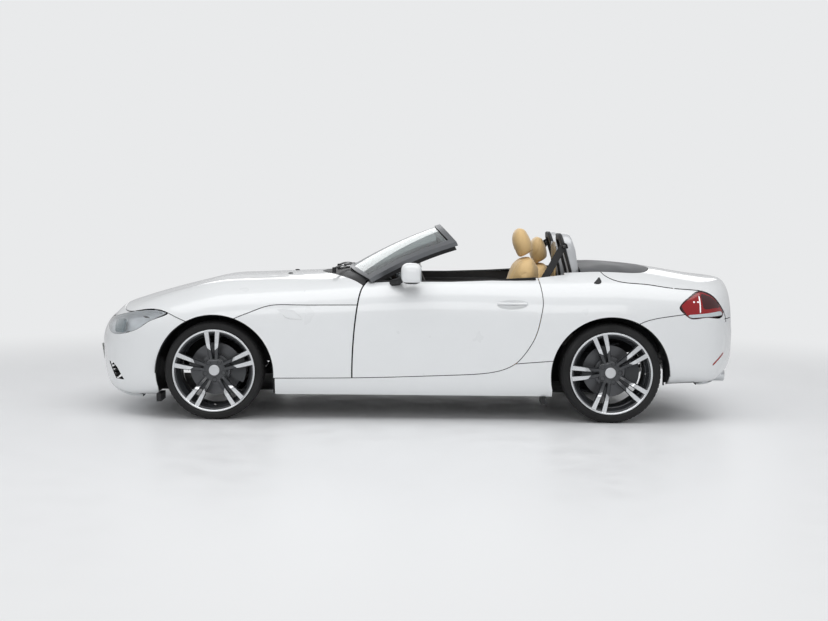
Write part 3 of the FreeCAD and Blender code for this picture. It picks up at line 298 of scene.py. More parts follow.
CAD_FINISHES: dict[Finish, Sequence[str]] = {
    PAINT: ("front_bumper", "front_fenders", "sills", "rear_quarters", "rear_bumper", "bonnet", "boot_lid",
            "door_left", "door_right", "mirror_left", "mirror_right"),
    UNDERSEAL: ("body_tub", "boot_tub", "front_structure"),
    BLACK_PP: ("cowl", "wipers", "grille", "underbody_liners"),
    SATIN_METAL: ("windscreen_frame",),
    GLASS: ("windscreen",),
    POLYCARBONATE: ("wind_deflector", "headlamps"),
    RED_LENS: ("tail_lamps",),
    STEEL: ("exhaust",),
    SATIN_GREY: ("tonneau_panel",),
    GLOSS_BLACK: ("roll_hoops",),
    DASH_FOIL: ("dashboard",),
    RIM_LEATHER: ("steering_wheel",),
    SEAT_LEATHER: ("seats",),
    WEBBING: ("seat_belts",),
    CASTING: ("engine_block", "driveline", "knuckle_left", "knuckle_right", "front_suspension",
              "rear_suspension"),
    RUBBER: tuple("tyre_" + corner for corner in CORNERS),
    WHEEL_LACQUER: tuple("wheel_" + corner for corner in CORNERS),
    DISC_IRON: tuple("disc_" + corner for corner in CORNERS),
}
# What the panels wear on the sides that look into the car
CAD_LININGS: dict[Finish, Sequence[str]] = {
    UNDERSEAL: ("front_bumper", "front_fenders", "sills", "rear_quarters", "rear_bumper", "bonnet", "boot_lid"),
    DASH_FOIL: ("door_left", "door_right", "windscreen_frame"),
}


def quads(rows: int, columns: int, wrap_rows: bool = False, wrap_columns: bool = False) -> np.ndarray:
    """Corner numbers of the quads of a grid of points.

    Args:
        rows: points in the first direction.
        columns: points in the second direction.
        wrap_rows: joins the last row to the first.
        wrap_columns: joins the last column to the first.

    Returns:
        One line of four numbers for each quad.
    """
    i, j = np.meshgrid(np.arange(rows if wrap_rows else rows - 1),
                       np.arange(columns if wrap_columns else columns - 1), indexing="ij")
    k, m = (i + 1) % rows, (j + 1) % columns
    return np.stack([i * columns + j, k * columns + j, k * columns + m, i * columns + m], -1).reshape(-1, 4)


@dataclass
class Mesh:
    """Points and quads on their way into Blender; patches are added up before the object is made."""

    points: list[np.ndarray] = field(default_factory=list)
    faces: list[np.ndarray] = field(default_factory=list)
    slots: list[np.ndarray] = field(default_factory=list)
    caps: list[list[int]] = field(default_factory=list)
    cap_slots: list[int] = field(default_factory=list)
    count: int = 0

    def grid(self, points: np.ndarray, slot: Any = 0, wrap_rows: bool = False, wrap_columns: bool = False,
             caps: bool = False) -> "Mesh":
        """Add a surface given as a grid of points.

        Args:
            points: rows by columns by 3.
            slot: which of the object's materials it takes; a number, or one for each point, which
                then counts for the quad that starts there.
            wrap_rows: joins the last row to the first.
            wrap_columns: joins the last column to the first.
            caps: closes the first and last row with a flat face each, in the first quad's material.

        Returns:
            This mesh, so that calls can follow each other.
        """
        rows, columns = points.shape[:2]
        faces = quads(rows, columns, wrap_rows, wrap_columns)
        slots = np.broadcast_to(np.asarray(slot, int), (rows, columns)).ravel()[faces[:, 0]]
        if caps:
            self.caps += [(np.arange(columns) + self.count + k * (rows - 1) * columns).tolist() for k in (0, 1)]
            self.cap_slots += [int(slots[0])] * 2
        self.points.append(np.asarray(points, float).reshape(-1, 3))
        self.faces.append(faces + self.count)
        self.slots.append(slots)
        self.count += rows * columns
        return self

    def tube(self, points: np.ndarray, slot: Any = 0) -> "Mesh":
        """Add a tube: rows along it, columns round it, and a flat cap at each end."""
        return self.grid(points, slot, wrap_columns=True, caps=True)

    def pair(self, points: np.ndarray, *args: Any, **settings: Any) -> "Mesh":
        """Add a left-hand patch and its mirror image; the rest is as in grid."""
        self.grid(points, *args, **settings)
        return self.grid(points * MIRROR, *args, **settings)

    def piece(self, name: str, slot: str, finishes: Sequence[Finish], body: str = "body",
              crease_deg: float = 35.0) -> bpy.types.Object:
        """Make the object, with its seams merged, its faces outwards and its hard edges marked.

        Args:
            name: the piece's name.
            slot: the record's material slot; it is not used.
            finishes: its materials, in the order of the slots.
            body: the body that it rides on.
            crease_deg: edges sharper than this stay hard.

        Returns:
            The object.
        """
        mesh = bpy.data.meshes.new(name)
        faces = np.concatenate(self.faces).tolist() + self.caps
        mesh.from_pydata(np.concatenate(self.points).tolist(), [], faces)
        mesh.polygons.foreach_set("material_index", np.concatenate(self.slots).tolist() + self.cap_slots)
        form = bmesh.new()
        form.from_mesh(mesh)
        bmesh.ops.remove_doubles(form, verts=form.verts, dist=1e-5)
        bmesh.ops.recalc_face_normals(form, faces=form.faces)
        form.to_mesh(mesh)
        form.free()
        mesh.polygons.foreach_set("use_smooth", [True] * len(mesh.polygons))
        mesh.set_sharp_from_angle(angle=math.radians(crease_deg))
        for finish in finishes:
            mesh.materials.append(finish.material())
        made = bpy.data.objects.new(name, mesh)
        bpy.context.scene.collection.objects.link(made)
        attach(made, body)
        return made


def circle(radius: float, steps: int, start: float = 0.0) -> np.ndarray:
    """Points (cosine, sine) times the radius, evenly round a circle."""
    angle = start + np.arange(steps) * 2 * np.pi / steps
    return radius * np.stack([np.cos(angle), np.sin(angle)], -1)


def lathe(profile: np.ndarray, centre: np.ndarray, steps: int) -> np.ndarray:
    """Turn a profile about a line along Y.

    Each point (r, y) goes to (cx + r cos a, cy + y, cz + r sin a) for even angles a.

    Args:
        profile: n by 2, radius and place along the axis.
        centre: a point on the axis.
        steps: how many angles.

    Returns:
        steps by n by 3.
    """
    ring = circle(1.0, steps)
    r, y = profile[None, :, 0], profile[None, :, 1]
    return centre + np.stack([ring[:, :1] * r, np.broadcast_to(y, (steps, len(profile))), ring[:, 1:] * r], -1)


def sweep(path: np.ndarray, section: np.ndarray, up: Sequence[float] = (0, 0, 1)) -> np.ndarray:
    """Carry a flat section along a path.

    The side direction is the path's direction crossed with up, and the section's second axis
    stands square to both.

    Args:
        path: m by 3.
        section: n by 2, or m by n by 2 where it changes along the path.
        up: a direction that the path never follows.

    Returns:
        m by n by 3.
    """
    along = np.gradient(path, axis=0)
    along /= np.linalg.norm(along, axis=1, keepdims=True)
    side = np.cross(along, np.asarray(up, float))
    side /= np.linalg.norm(side, axis=1, keepdims=True)
    rise = np.cross(side, along)
    return path[:, None] + section[..., :1] * side[:, None] + section[..., 1:] * rise[:, None]


def smooth_line(points: Line, count: int) -> np.ndarray:
    """Even-parameter points on a Catmull-Rom curve through the given points.

    Between two points the curve is the cubic whose end slopes are half the chord of their
    neighbours.

    Args:
        points: the points that it passes through.
        count: how many points come back.

    Returns:
        count by the size of a point.
    """
    p = np.asarray(points, float)
    p = np.vstack([2 * p[0] - p[1], p, 2 * p[-1] - p[-2]])
    t = np.linspace(0, len(p) - 3 - 1e-9, count)
    k = t.astype(int)
    t = (t - k)[:, None]
    a, b, c, d = p[k], p[k + 1], p[k + 2], p[k + 3]
    return 0.5 * (2 * b + (c - a) * t + (2 * a - 5 * b + 4 * c - d) * t ** 2
                  + (3 * b - a - 3 * c + d) * t ** 3)


def bent(value: np.ndarray, power: float) -> np.ndarray:
    """Raise a sine or cosine to 2/power and keep its sign: 2 is round and more is boxy."""
    return np.sign(value) * np.abs(value) ** (2 / power)


def blob(centre: Sequence[float], half: Sequence[float], power: float = 2.5, rows: int = 17,
         columns: int = 32) -> np.ndarray:
    """Superellipsoid: a sphere with each of its sines and cosines bent.

    Args:
        centre: its middle.
        half: half its size along X, Y and Z.
        power: how boxy it is.
        rows: points from pole to pole.
        columns: points round it.

    Returns:
        rows by columns by 3.
    """
    v = np.linspace(-np.pi / 2, np.pi / 2, rows)[:, None]
    u = np.arange(columns)[None] * 2 * np.pi / columns
    level, rise = bent(np.cos(v), power), bent(np.sin(v), power)
    unit = np.stack([level * bent(np.cos(u), power), level * bent(np.sin(u), power),
                     rise * np.ones_like(u)], -1)
    return np.asarray(centre) + unit * np.asarray(half)


def turned(profile: Line, centre: Sequence[float], axis: Sequence[float],
           steps: int = 32) -> np.ndarray:
    """Turn a profile about any line.

    Two directions square to the axis span the circles; each point (r, d) goes to the centre plus d
    along the axis plus r on its circle.

    Args:
        profile: n by 2, radius and distance along the axis.
        centre: a point on the axis.
        axis: the direction of the line.
        steps: how many angles.

    Returns:
        steps by n by 3.
    """
    p = np.asarray(profile, float)
    line = np.asarray(axis, float) / np.linalg.norm(axis)
    one = np.cross(line, (0, 0, 1) if abs(line[2]) < 0.9 else (1, 0, 0))
    one /= np.linalg.norm(one)
    two = np.cross(line, one)
    ring = circle(1.0, steps)
    spoke = ring[:, :1] * one + ring[:, 1:] * two
    return np.asarray(centre) + p[None, :, :1] * spoke[:, None] + p[None, :, 1:] * line


def loop(points: Line, count: int) -> np.ndarray:
    """Closed smooth line through the points.

    It is the open line with two points repeated before it and three after it, cut back to one turn.

    Args:
        points: the outline's points, in order.
        count: how many points the line gets.

    Returns:
        count by 2 or by 3, as the points are.
    """
    steps = 60
    p = [tuple(q) for q in points]
    line = smooth_line(p[-2:] + p + p[:3], (len(p) + 4) * steps + 1)
    return line[2 * steps:(2 + len(p)) * steps][(np.arange(count) * len(p) * steps / count).astype(int)]


def fan(outline: np.ndarray, rings: Sequence[float]) -> np.ndarray:
    """Shrink a flat outline towards its middle, once for each ring.

    Args:
        outline: n by 2.
        rings: share of the full size, from 0 at the middle to 1 at the outline.

    Returns:
        rings by n by 2.
    """
    middle = outline.mean(0)
    return middle + (outline - middle) * np.asarray(rings, float)[:, None, None]


def scaled(outline: Line, share: float) -> np.ndarray:
    """The outline made larger or smaller about its middle."""
    p = np.asarray(outline, float)
    return p.mean(0) + (p - p.mean(0)) * share


def beside(flat: np.ndarray) -> np.ndarray:
    """Points (x, z) of a side view as X, Y, Z beside the car's left-hand side."""
    return np.stack([flat[..., 0], np.full(flat.shape[:-1], SIDE_START), flat[..., 1]], -1)


def draped(points: np.ndarray, node: str, axis: str = "Y", forward: bool = True) -> np.ndarray:
    """Slide points along an axis until they meet a carried node.

    Args:
        points: any shape, the last axis being X, Y, Z.
        node: the node that they land on.
        axis: "X", "Y" or "Z".
        forward: towards the axis's positive end.

    Returns:
        The landed points; one that meets nothing stays.
    """
    mesh = bpy.data.meshes.new("drape")
    mesh.from_pydata(points.reshape(-1, 3).tolist(), [], [])
    cloth = bpy.data.objects.new("drape", mesh)
    bpy.context.scene.collection.objects.link(cloth)
    wrap = cloth.modifiers.new("wrap", "SHRINKWRAP")
    wrap.wrap_method = "PROJECT"
    wrap.target = frame["nodes"][node]
    setattr(wrap, "use_project_" + axis.lower(), True)
    wrap.use_positive_direction, wrap.use_negative_direction = forward, not forward
    wrap.project_limit = DRAPE_REACH
    bpy.context.view_layer.update()
    landed = corners(baked(cloth)).reshape(points.shape)
    mesh = cloth.data
    bpy.data.objects.remove(cloth)
    bpy.data.meshes.remove(mesh)
    return landed


def plate(outline: Line, node: str, rings: Sequence[float], lift: Any,
          thickness: float, out: Sequence[float] = (0, -1, 0), count: int = 64) -> np.ndarray:
    """A closed patch on the left-hand side that follows a node.

    The outline is filled with rings, dropped onto the node along +Y, lifted, and closed by the same
    rings nearer to the body. A point that misses the node goes back to its ring's inner neighbour.

    Args:
        outline: (x, z) seen from the side.
        node: the node that it lies on.
        rings: shares of the outline's size, rising; a first one of 0 fills the middle.
        lift: how far its outer face stands off the node; a number, or one for each ring.
        thickness: how thick it is.
        out: the direction away from the body.
        count: points round it.

    Returns:
        Twice as many rows as rings, by count, by 3; columns join up.
    """
    every = sorted({*FULL, *rings})
    skin = draped(beside(fan(loop(outline, count), every)), node)
    for k in range(1, len(skin)):
        missed = np.abs(skin[k, :, 1] - SIDE_START) < 1e-6
        skin[k, missed] = skin[k - 1, missed]
    skin = skin[[every.index(ring) for ring in rings]]
    away = np.asarray(out, float) / np.linalg.norm(out)
    lift = np.broadcast_to(np.asarray(lift, float), len(skin))[:, None, None]
    return np.concatenate([skin + away * lift, (skin + away * (lift - thickness))[::-1]])


@dataclass
class Studio:
    """Pale floor, soft light and the camera where the photographer stood."""

    distance: float = 9.5
    eye_height: float = 1.325
    eye_x: float = -0.026
    focal_px: float = 1384.0
    pitch_deg: float = 4.14
    roll_deg: float = 0.49
    floor_size: float = 60.0
    backdrop: str = "E9EAEB"
    sky: str = "F4F5F7"
    sky_strength: float = 0.58
    fade_reach: tuple[float, float] = (2.6, 6.5)
    # Name, place, tilt about X in degrees, width and height, watts
    lamps: Sequence[tuple[str, Sequence[float], float, Sequence[float], float]] = (
        ("sky_panel", (0.0, -1.5, 5.5), 0.0, (9.0, 5.0), 190.0),
        ("side_panel", (-1.0, -8.0, 3.2), 68.0, (8.0, 2.5), 105.0),
        ("back_panel", (0.5, 8.0, 3.5), -68.0, (8.0, 2.5), 75.0))

    def build(self) -> None:
        """Make the floor, the lamps, the world and the camera."""
        bpy.context.scene.view_settings.view_transform = "Standard"
        self.floor()
        self.world()
        for lamp in self.lamps:
            self.lamp(*lamp)
        self.camera()

    def floor(self) -> None:
        """A wide plane of smooth pale paint."""
        h = self.floor_size / 2
        mesh = bpy.data.meshes.new("floor")
        mesh.from_pydata([(-h, -h, 0), (h, -h, 0), (h, h, 0), (-h, h, 0)], [], [(0, 1, 2, 3)])
        floor = bpy.data.objects.new("floor", mesh)
        bpy.context.scene.collection.objects.link(floor)
        # Epoxy floor paint, rolled: pale with a faint gloss
        paint = Finish("epoxy_floor_rolled", "EDEEEF", 0.4, Pattern.PEEL, 30.0, 0.02, shade=0.01).material()
        self.fade(paint)
        mesh.materials.append(paint)

    def fade(self, paint: bpy.types.Material) -> None:
        """Let the far floor pass into the backdrop, for the camera alone.

        The backdrop's share rises from 0 to 1 between two distances from the middle, times whether
        the ray comes from the camera.

        Args:
            paint: the floor's material.
        """
        tree = paint.node_tree
        shader = next(n for n in tree.nodes if n.type == "BSDF_PRINCIPLED")
        end = next(n for n in tree.nodes if n.type == "OUTPUT_MATERIAL")
        coords = add_node(tree, "ShaderNodeTexCoord").outputs["Object"]
        reach = add_node(tree, "ShaderNodeVectorMath", {0: coords}, operation="LENGTH").outputs["Value"]
        share = add_node(tree, "ShaderNodeMapRange", {"Value": reach, "From Min": self.fade_reach[0],
                                                       "From Max": self.fade_reach[1]},
                         interpolation_type="SMOOTHSTEP").outputs["Result"]
        rays = add_node(tree, "ShaderNodeLightPath")
        share = add_node(tree, "ShaderNodeMath", {0: share, 1: rays.outputs["Is Camera Ray"]},
                         operation="MULTIPLY").outputs[0]
        glow = add_node(tree, "ShaderNodeEmission", {"Color": linear(self.backdrop), "Strength": 1.0})
        mix = add_node(tree, "ShaderNodeMixShader", {0: share, 1: shader.outputs[0], 2: glow.outputs[0]})
        tree.links.new(mix.outputs[0], end.inputs["Surface"])

    def world(self) -> None:
        """Pale backdrop for the camera and for what is seen through glass, and a plain soft light for the rest.
        """
        world = bpy.data.worlds.new("studio")
        world.use_nodes = True
        bpy.context.scene.world = world
        tree = world.node_tree
        tree.nodes.clear()
        rays = add_node(tree, "ShaderNodeLightPath")
        seen = add_node(tree, "ShaderNodeMath", {0: rays.outputs["Is Camera Ray"],
                                                 1: rays.outputs["Is Transmission Ray"]}, operation="MAXIMUM")
        light = add_node(tree, "ShaderNodeBackground", {"Color": linear(self.sky),
                                                         "Strength": self.sky_strength})
        sight = add_node(tree, "ShaderNodeBackground", {"Color": linear(self.backdrop), "Strength": 1.0})
        mix = add_node(tree, "ShaderNodeMixShader", {0: seen.outputs[0], 1: light.outputs[0],
                                                     2: sight.outputs[0]})
        add_node(tree, "ShaderNodeOutputWorld", {"Surface": mix.outputs[0]})

    def lamp(self, name: str, place: Sequence[float], tilt_deg: float, size: Sequence[float],
             watts: float) -> None:
        """Add a soft panel light.

        Args:
            name: its name.
            place: its middle.
            tilt_deg: its turn about X; without one it shines straight down.
            size: its width and height.
            watts: its power.
        """
        data = bpy.data.lights.new(name, "AREA")
        data.shape = "RECTANGLE"
        data.size, data.size_y = size
        data.energy = watts
        lamp = bpy.data.objects.new(name, data)
        lamp.location = place
        lamp.rotation_euler = (math.radians(tilt_deg), 0, 0)
        bpy.context.scene.collection.objects.link(lamp)

    def camera(self) -> None:
        """Put the camera at the photograph's viewpoint."""
        data = bpy.data.cameras.new("camera")
        data.sensor_width = 36.0
        data.lens = self.focal_px * data.sensor_width / PHOTO_WIDTH
        camera = bpy.data.objects.new("camera", data)
        camera.location = (self.eye_x, -self.distance, self.eye_height)
        camera.rotation_mode = "XYZ"
        aim = (Matrix.Rotation(math.radians(90 - self.pitch_deg), 4, "X")
               @ Matrix.Rotation(math.radians(self.roll_deg), 4, "Z"))
        camera.rotation_euler = aim.to_euler()
        bpy.context.scene.collection.objects.link(camera)
        bpy.context.scene.camera = camera


@dataclass
class Carried:
    """The carried-over solids, dressed in their finishes, with dark linings on their inner sides."""

    finishes: dict[Finish, Sequence[str]]
    linings: dict[Finish, Sequence[str]]
    core_reach: float = 1.6
    core_height: float = 0.45
    inward_share: float = 0.25

    def dress(self) -> None:
        """Give every node its material."""
        for finish, names in self.finishes.items():
            for name in names:
                mesh = frame["nodes"][name].data
                mesh.materials.clear()
                mesh.materials.append(finish.material())
        for finish, names in self.linings.items():
            for name in names:
                self.line(frame["nodes"][name], finish)

    def line(self, node: bpy.types.Object, finish: Finish) -> None:
        """Give the faces that look into the car the lining's material.

        The car's core is a line along X. A face looks inwards where its normal times the way from
        the core to the face is below zero by more than a quarter of that way's length.

        Args:
            node: the carried node.
            finish: the lining.
        """
        count = len(node.data.polygons)
        centre, normal = np.empty(count * 3), np.empty(count * 3)
        node.data.polygons.foreach_get("center", centre)
        node.data.polygons.foreach_get("normal", normal)
        turn = np.array(node.matrix_world)
        centre = centre.reshape(-1, 3) @ turn[:3, :3].T + turn[:3, 3]
        normal = normal.reshape(-1, 3) @ turn[:3, :3].T
        core = np.stack([np.clip(centre[:, 0], -self.core_reach, self.core_reach), np.zeros(count),
                         np.full(count, self.core_height)], -1)
        way = centre - core
        inward = (normal * way).sum(-1) < -self.inward_share * np.linalg.norm(way, axis=1)
        node.data.materials.append(finish.material())
        node.data.polygons.foreach_set("material_index", inward.astype(int))


@dataclass
class Tyre:
    """A low tyre with four grooves round it and cut shoulders."""

    end: str
    side: str
    pitches: int = 64
    groove_depth: float = 0.006
    groove_half: float = 0.0045
    # Middles of the grooves as shares of the half width
    grooves: Sequence[float] = (-0.496, -0.176, 0.176, 0.496)
    lip: float = 0.2593
    bead: float = 0.2445

    def build(self) -> bpy.types.Object:
        """Make the tyre.

        The profile is a loop from bead to bead and back inside. On the tread the radius drops by
        the groove depth near four circles, and on the shoulders also in a slanted band of each
        pitch.

        Returns:
            The piece.
        """
        corner = f"{self.end}_{self.side}"
        low, high = (np.array(c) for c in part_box("tyre_" + corner))
        centre = (low + high) / 2
        radius, half = (high[2] - low[2]) / 2, (high[1] - low[1]) / 2
        lip, bead = self.lip, self.bead
        side = smooth_line([(lip, -half + 0.0085), (lip + 0.006, -half + 0.003), (lip + 0.014, -half + 0.0005),
                            (lip + 0.02, -half + 0.002), (radius - 0.022, -half + 0.0035),
                            (radius - 0.011, -half + 0.009), (radius - 0.0045, -half + 0.02)], 20)
        y = np.linspace(-half + 0.023, half - 0.023, 45)
        crown = np.stack([radius - 0.0035 * np.abs(y / half) ** 2.5, y], -1)
        inside = np.array([(bead, half - 0.016), (bead, half - 0.03), (0.277, half - 0.018),
                           (radius - 0.017, half - 0.03), (radius - 0.017, -half + 0.03),
                           (0.277, -half + 0.018), (bead, -half + 0.03), (bead, -half + 0.016)])
        profile = np.concatenate([side, crown, side[::-1] * (1, -1), inside])
        steps = self.pitches * 6
        grid = lathe(profile, centre, steps)
        along = profile[None, :, 1] / half
        angle = np.arange(steps)[:, None] * self.pitches / steps
        outer = np.arange(len(profile))[None] < len(profile) - len(inside)
        tread = (profile[None, :, 0] > radius - 0.0055) & outer
        rings = np.min(np.abs(along[..., None] - np.array(self.grooves)) * half, -1) < self.groove_half
        slant = (angle + along * 2.2) % 1.0 < 0.17
        cut = tread & (rings | (slant & (np.abs(along) > 0.56)))
        unit = grid - centre
        reach = np.linalg.norm(unit[..., [0, 2]], axis=-1, keepdims=True)
        sunk = 1 - self.groove_depth * cut[..., None] / reach
        grid = centre + unit * np.concatenate([sunk, np.ones_like(sunk), sunk], -1)
        made = Mesh().grid(grid, wrap_rows=True, wrap_columns=True).piece(
            "tread_" + corner, "tyre", [RUBBER], "wheel_" + corner, crease_deg=30)
        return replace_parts(made, "tyre_" + corner)


@dataclass
class Wheel:
    """Cast wheel with five pairs of spokes: turned bright near the rim, dark inside."""

    end: str
    side: str
    first_pair_deg: float
    pairs: int = 5
    face_hub: float = 0.075
    bright_from: float = 0.136
    bolt_circle: float = 0.060
    seat_radius: float = 0.243
    lip_radius: float = 0.259

    def __post_init__(self) -> None:
        """Read the wheel's place and width from the frame."""
        self.corner = f"{self.end}_{self.side}"
        self.body = "wheel_" + self.corner
        low, high = (np.array(c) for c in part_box(self.body))
        self.axis = joint_place("roll_" + self.corner)
        self.half = float(high[1] - low[1]) / 2
        self.sign = SIDES[self.side]

    def place(self, radial: np.ndarray, across: np.ndarray, depth: np.ndarray, angle: float) -> np.ndarray:
        """Points given from the wheel's middle.

        Args:
            radial: distance from the axis along the spoke.
            across: distance sideways from the spoke's middle line.
            depth: distance outwards from the wheel's middle plane.
            angle: where the spoke points, in radians.

        Returns:
            Points in the frame.
        """
        c, s = math.cos(angle), math.sin(angle)
        return self.axis + np.stack([radial * c - across * s, self.sign * depth, radial * s + across * c], -1)

    def face(self, radial: np.ndarray) -> np.ndarray:
        """Depth of the spokes' outer face: it rises from the hub to the rim in a soft S.

        Args:
            radial: distance from the axis.

        Returns:
            Distance outwards from the middle plane.
        """
        t = np.clip((radial - 0.05) / 0.12, 0, 1)
        return self.face_hub + (self.half - 0.0035 - self.face_hub) * t * t * (3 - 2 * t)

    def rim(self) -> bpy.types.Object:
        """The barrel as one turned loop, with a bright lip in front.

        Returns:
            The piece.
        """
        h = self.half
        seat, lip = self.seat_radius, self.lip_radius
        front = smooth_line([(lip, h - 0.006), (lip, h - 0.001), (lip - 0.004, h), (lip - 0.010, h - 0.0015),
                             (lip - 0.0125, h - 0.004)], 14)
        well = smooth_line([(lip - 0.0135, h - 0.006), (seat - 0.008, h - 0.014), (seat - 0.018, h - 0.05),
                            (seat - 0.028, h - 0.075), (seat - 0.026, -h + 0.04), (seat - 0.01, -h + 0.012),
                            (lip - 0.004, -h)], 26)
        back = np.array([(lip, -h + 0.001), (lip, -h + 0.006), (seat, -h + 0.013), (seat, -h + 0.03),
                         (seat - 0.02, -h + 0.045), (seat - 0.021, h - 0.085), (seat - 0.005, h - 0.04),
                         (seat, h - 0.03), (seat, h - 0.013)])
        profile = np.concatenate([front, well, back])
        grid = lathe(profile * (1, self.sign), self.axis, 120)
        mesh = Mesh().grid(grid, np.arange(len(profile)) < len(front), wrap_rows=True, wrap_columns=True)
        return mesh.piece("rim_" + self.corner, "rim_metal", [WHEEL_LACQUER, TURNED_METAL], self.body)

    def spokes(self) -> bpy.types.Object:
        """Ten spokes: a flat face with bevelled flanks that widen towards the back.

        Along a spoke the half width grows from 8 to 15 mm and the middle line leaves the pair's own
        by 13 to 34 mm. Where the bright part begins, the rows slant by up to 9 mm, as a bell curve.

        Returns:
            The piece.
        """
        mesh = Mesh()
        dark_rows = 14
        radial = np.concatenate([np.linspace(0.05, self.bright_from, dark_rows),
                                 np.linspace(self.bright_from + 0.0005, self.lip_radius - 0.0115, 16)])[:, None]
        t = (radial - 0.05) / 0.19
        half = 0.0078 + 0.0072 * t ** 0.8
        top = self.face(radial)
        thick = 0.036 - 0.008 * t
        across = np.concatenate([-half, -half + 0.0012, half - 0.0012, half, half + 0.004, half + 0.003,
                                 -half - 0.003, -half - 0.004], 1)
        down = np.array([[0.0016, 0, 0, 0.0016, 0.014, 1, 1, 0.014]])
        depth = np.where(down == 1, top - thick, top - down)
        bright = (np.arange(len(radial))[:, None] >= dark_rows - 1) & (np.arange(8) < 3)
        for k in range(self.pairs):
            angle = math.radians(self.first_pair_deg + 360 / self.pairs * k)
            for hand in (-1, 1):
                middle = hand * (0.0125 + 0.0215 * t ** 0.85)
                slant = 0.009 * hand * across / half * np.exp(-((radial - self.bright_from) / 0.02) ** 2)
                mesh.tube(self.place(radial + slant, across + middle, depth, angle), bright)
        made = mesh.piece("spokes_" + self.corner, "rim_metal", [WHEEL_LACQUER, TURNED_METAL], self.body,
                          crease_deg=30)
        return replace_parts(made, self.body)

    def hub(self) -> bpy.types.Object:
        """Hub plate with five bolt pockets between the pairs, the bolts and a plain cap.

        The plate is a disc whose radius swells by 10 mm between the pairs, and each pocket is a ring
        round a six-sided bolt head.

        Returns:
            The piece.
        """
        mesh = Mesh()
        steps = 160
        angle = np.arange(steps)[:, None] * 2 * np.pi / steps
        swell = 0.5 - 0.5 * np.cos(self.pairs * (angle - math.radians(self.first_pair_deg)))
        edge = 0.070 + 0.010 * swell
        face = self.face_hub
        radial = np.concatenate([edge * 0.3, edge * 0.42, edge * 0.9, edge, edge + 0.002, edge * 0.9], 1)
        depth = np.array([[face - 0.004, face + 0.001, face + 0.001, face - 0.003, 0.034, 0.031]])
        grid = self.axis + np.stack([radial * np.cos(angle), np.broadcast_to(self.sign * depth, radial.shape),
                                     radial * np.sin(angle)], -1)
        mesh.grid(grid, wrap_rows=True)
        ring = np.array([(0.0155, face), (0.0135, face + 0.0025), (0.0125, face + 0.001),
                         (0.012, face - 0.016), (0.0001, face - 0.016)])
        head = np.array([(0.0092, face - 0.016), (0.0092, face - 0.005), (0.0075, face - 0.0035),
                         (0.0001, face - 0.0035)])
        for k in range(self.pairs):
            turn = math.radians(self.first_pair_deg + 360 / self.pairs * (k + 0.5))
            middle = self.axis + self.bolt_circle * np.array([math.cos(turn), 0, math.sin(turn)])
            mesh.grid(lathe(ring * (1, self.sign), middle, 24), slot=1, wrap_rows=True)
            mesh.grid(lathe(head * (1, self.sign), middle, 6), slot=2, wrap_rows=True)
        cap = smooth_line([(0.0335, face - 0.004), (0.0335, face + 0.0035), (0.031, face + 0.006),
                           (0.015, face + 0.0075), (0.0001, face + 0.008)], 16)
        mesh.grid(lathe(cap * (1, self.sign), self.axis, 48), slot=3, wrap_rows=True)
        return mesh.piece("hub_" + self.corner, "rim_metal", [WHEEL_LACQUER, GLOSS_BLACK, STEEL, SILVER_SHELL],
                          self.body)

    def valve(self) -> bpy.types.Object:
        """Metal valve stem near the rim, with its cap.

        Returns:
            The piece.
        """
        angle = math.radians(self.first_pair_deg + 180)
        start = np.array([self.seat_radius - 0.02, self.half - 0.05])
        out = np.array([-0.25, 0.97])
        reach = np.array([0.0, 0.012, 0.0125, 0.028, 0.0285, 0.040, 0.0405])
        radius = np.array([0.0042, 0.0042, 0.003, 0.003, 0.0045, 0.0045, 0.0001])
        ring = circle(1.0, 12)
        radial = start[0] + reach[:, None] * out[0] + radius[:, None] * ring[None, :, 0]
        depth = start[1] + reach[:, None] * out[1] + np.zeros((1, 12))
        across = radius[:, None] * ring[None, :, 1]
        stem = Mesh().tube(self.place(radial, across, depth, angle))
        return stem.piece("valve_" + self.corner, "rim_metal", [STEEL], self.body)

    def build(self) -> None:
        """Make the whole wheel."""
        self.rim()
        self.spokes()
        self.hub()
        self.valve()


def baked(made: bpy.types.Object) -> bpy.types.Object:
    """Put what the modifiers give into the mesh and take them off.

    Args:
        made: the object.

    Returns:
        The same object.
    """
    graph = bpy.context.evaluated_depsgraph_get()
    old = made.data
    made.data = bpy.data.meshes.new_from_object(made.evaluated_get(graph))
    made.modifiers.clear()
    bpy.data.meshes.remove(old)
    return made


def corners(made: bpy.types.Object) -> np.ndarray:
    """Read the object's vertices.

    Args:
        made: the object.

    Returns:
        n by 3.
    """
    flat = np.empty(len(made.data.vertices) * 3)
    made.data.vertices.foreach_get("co", flat)
    return flat.reshape(-1, 3)


def set_corners(made: bpy.types.Object, points: np.ndarray) -> None:
    """Move the object's vertices to the given points."""
    made.data.vertices.foreach_set("co", points.ravel())
    made.data.update()


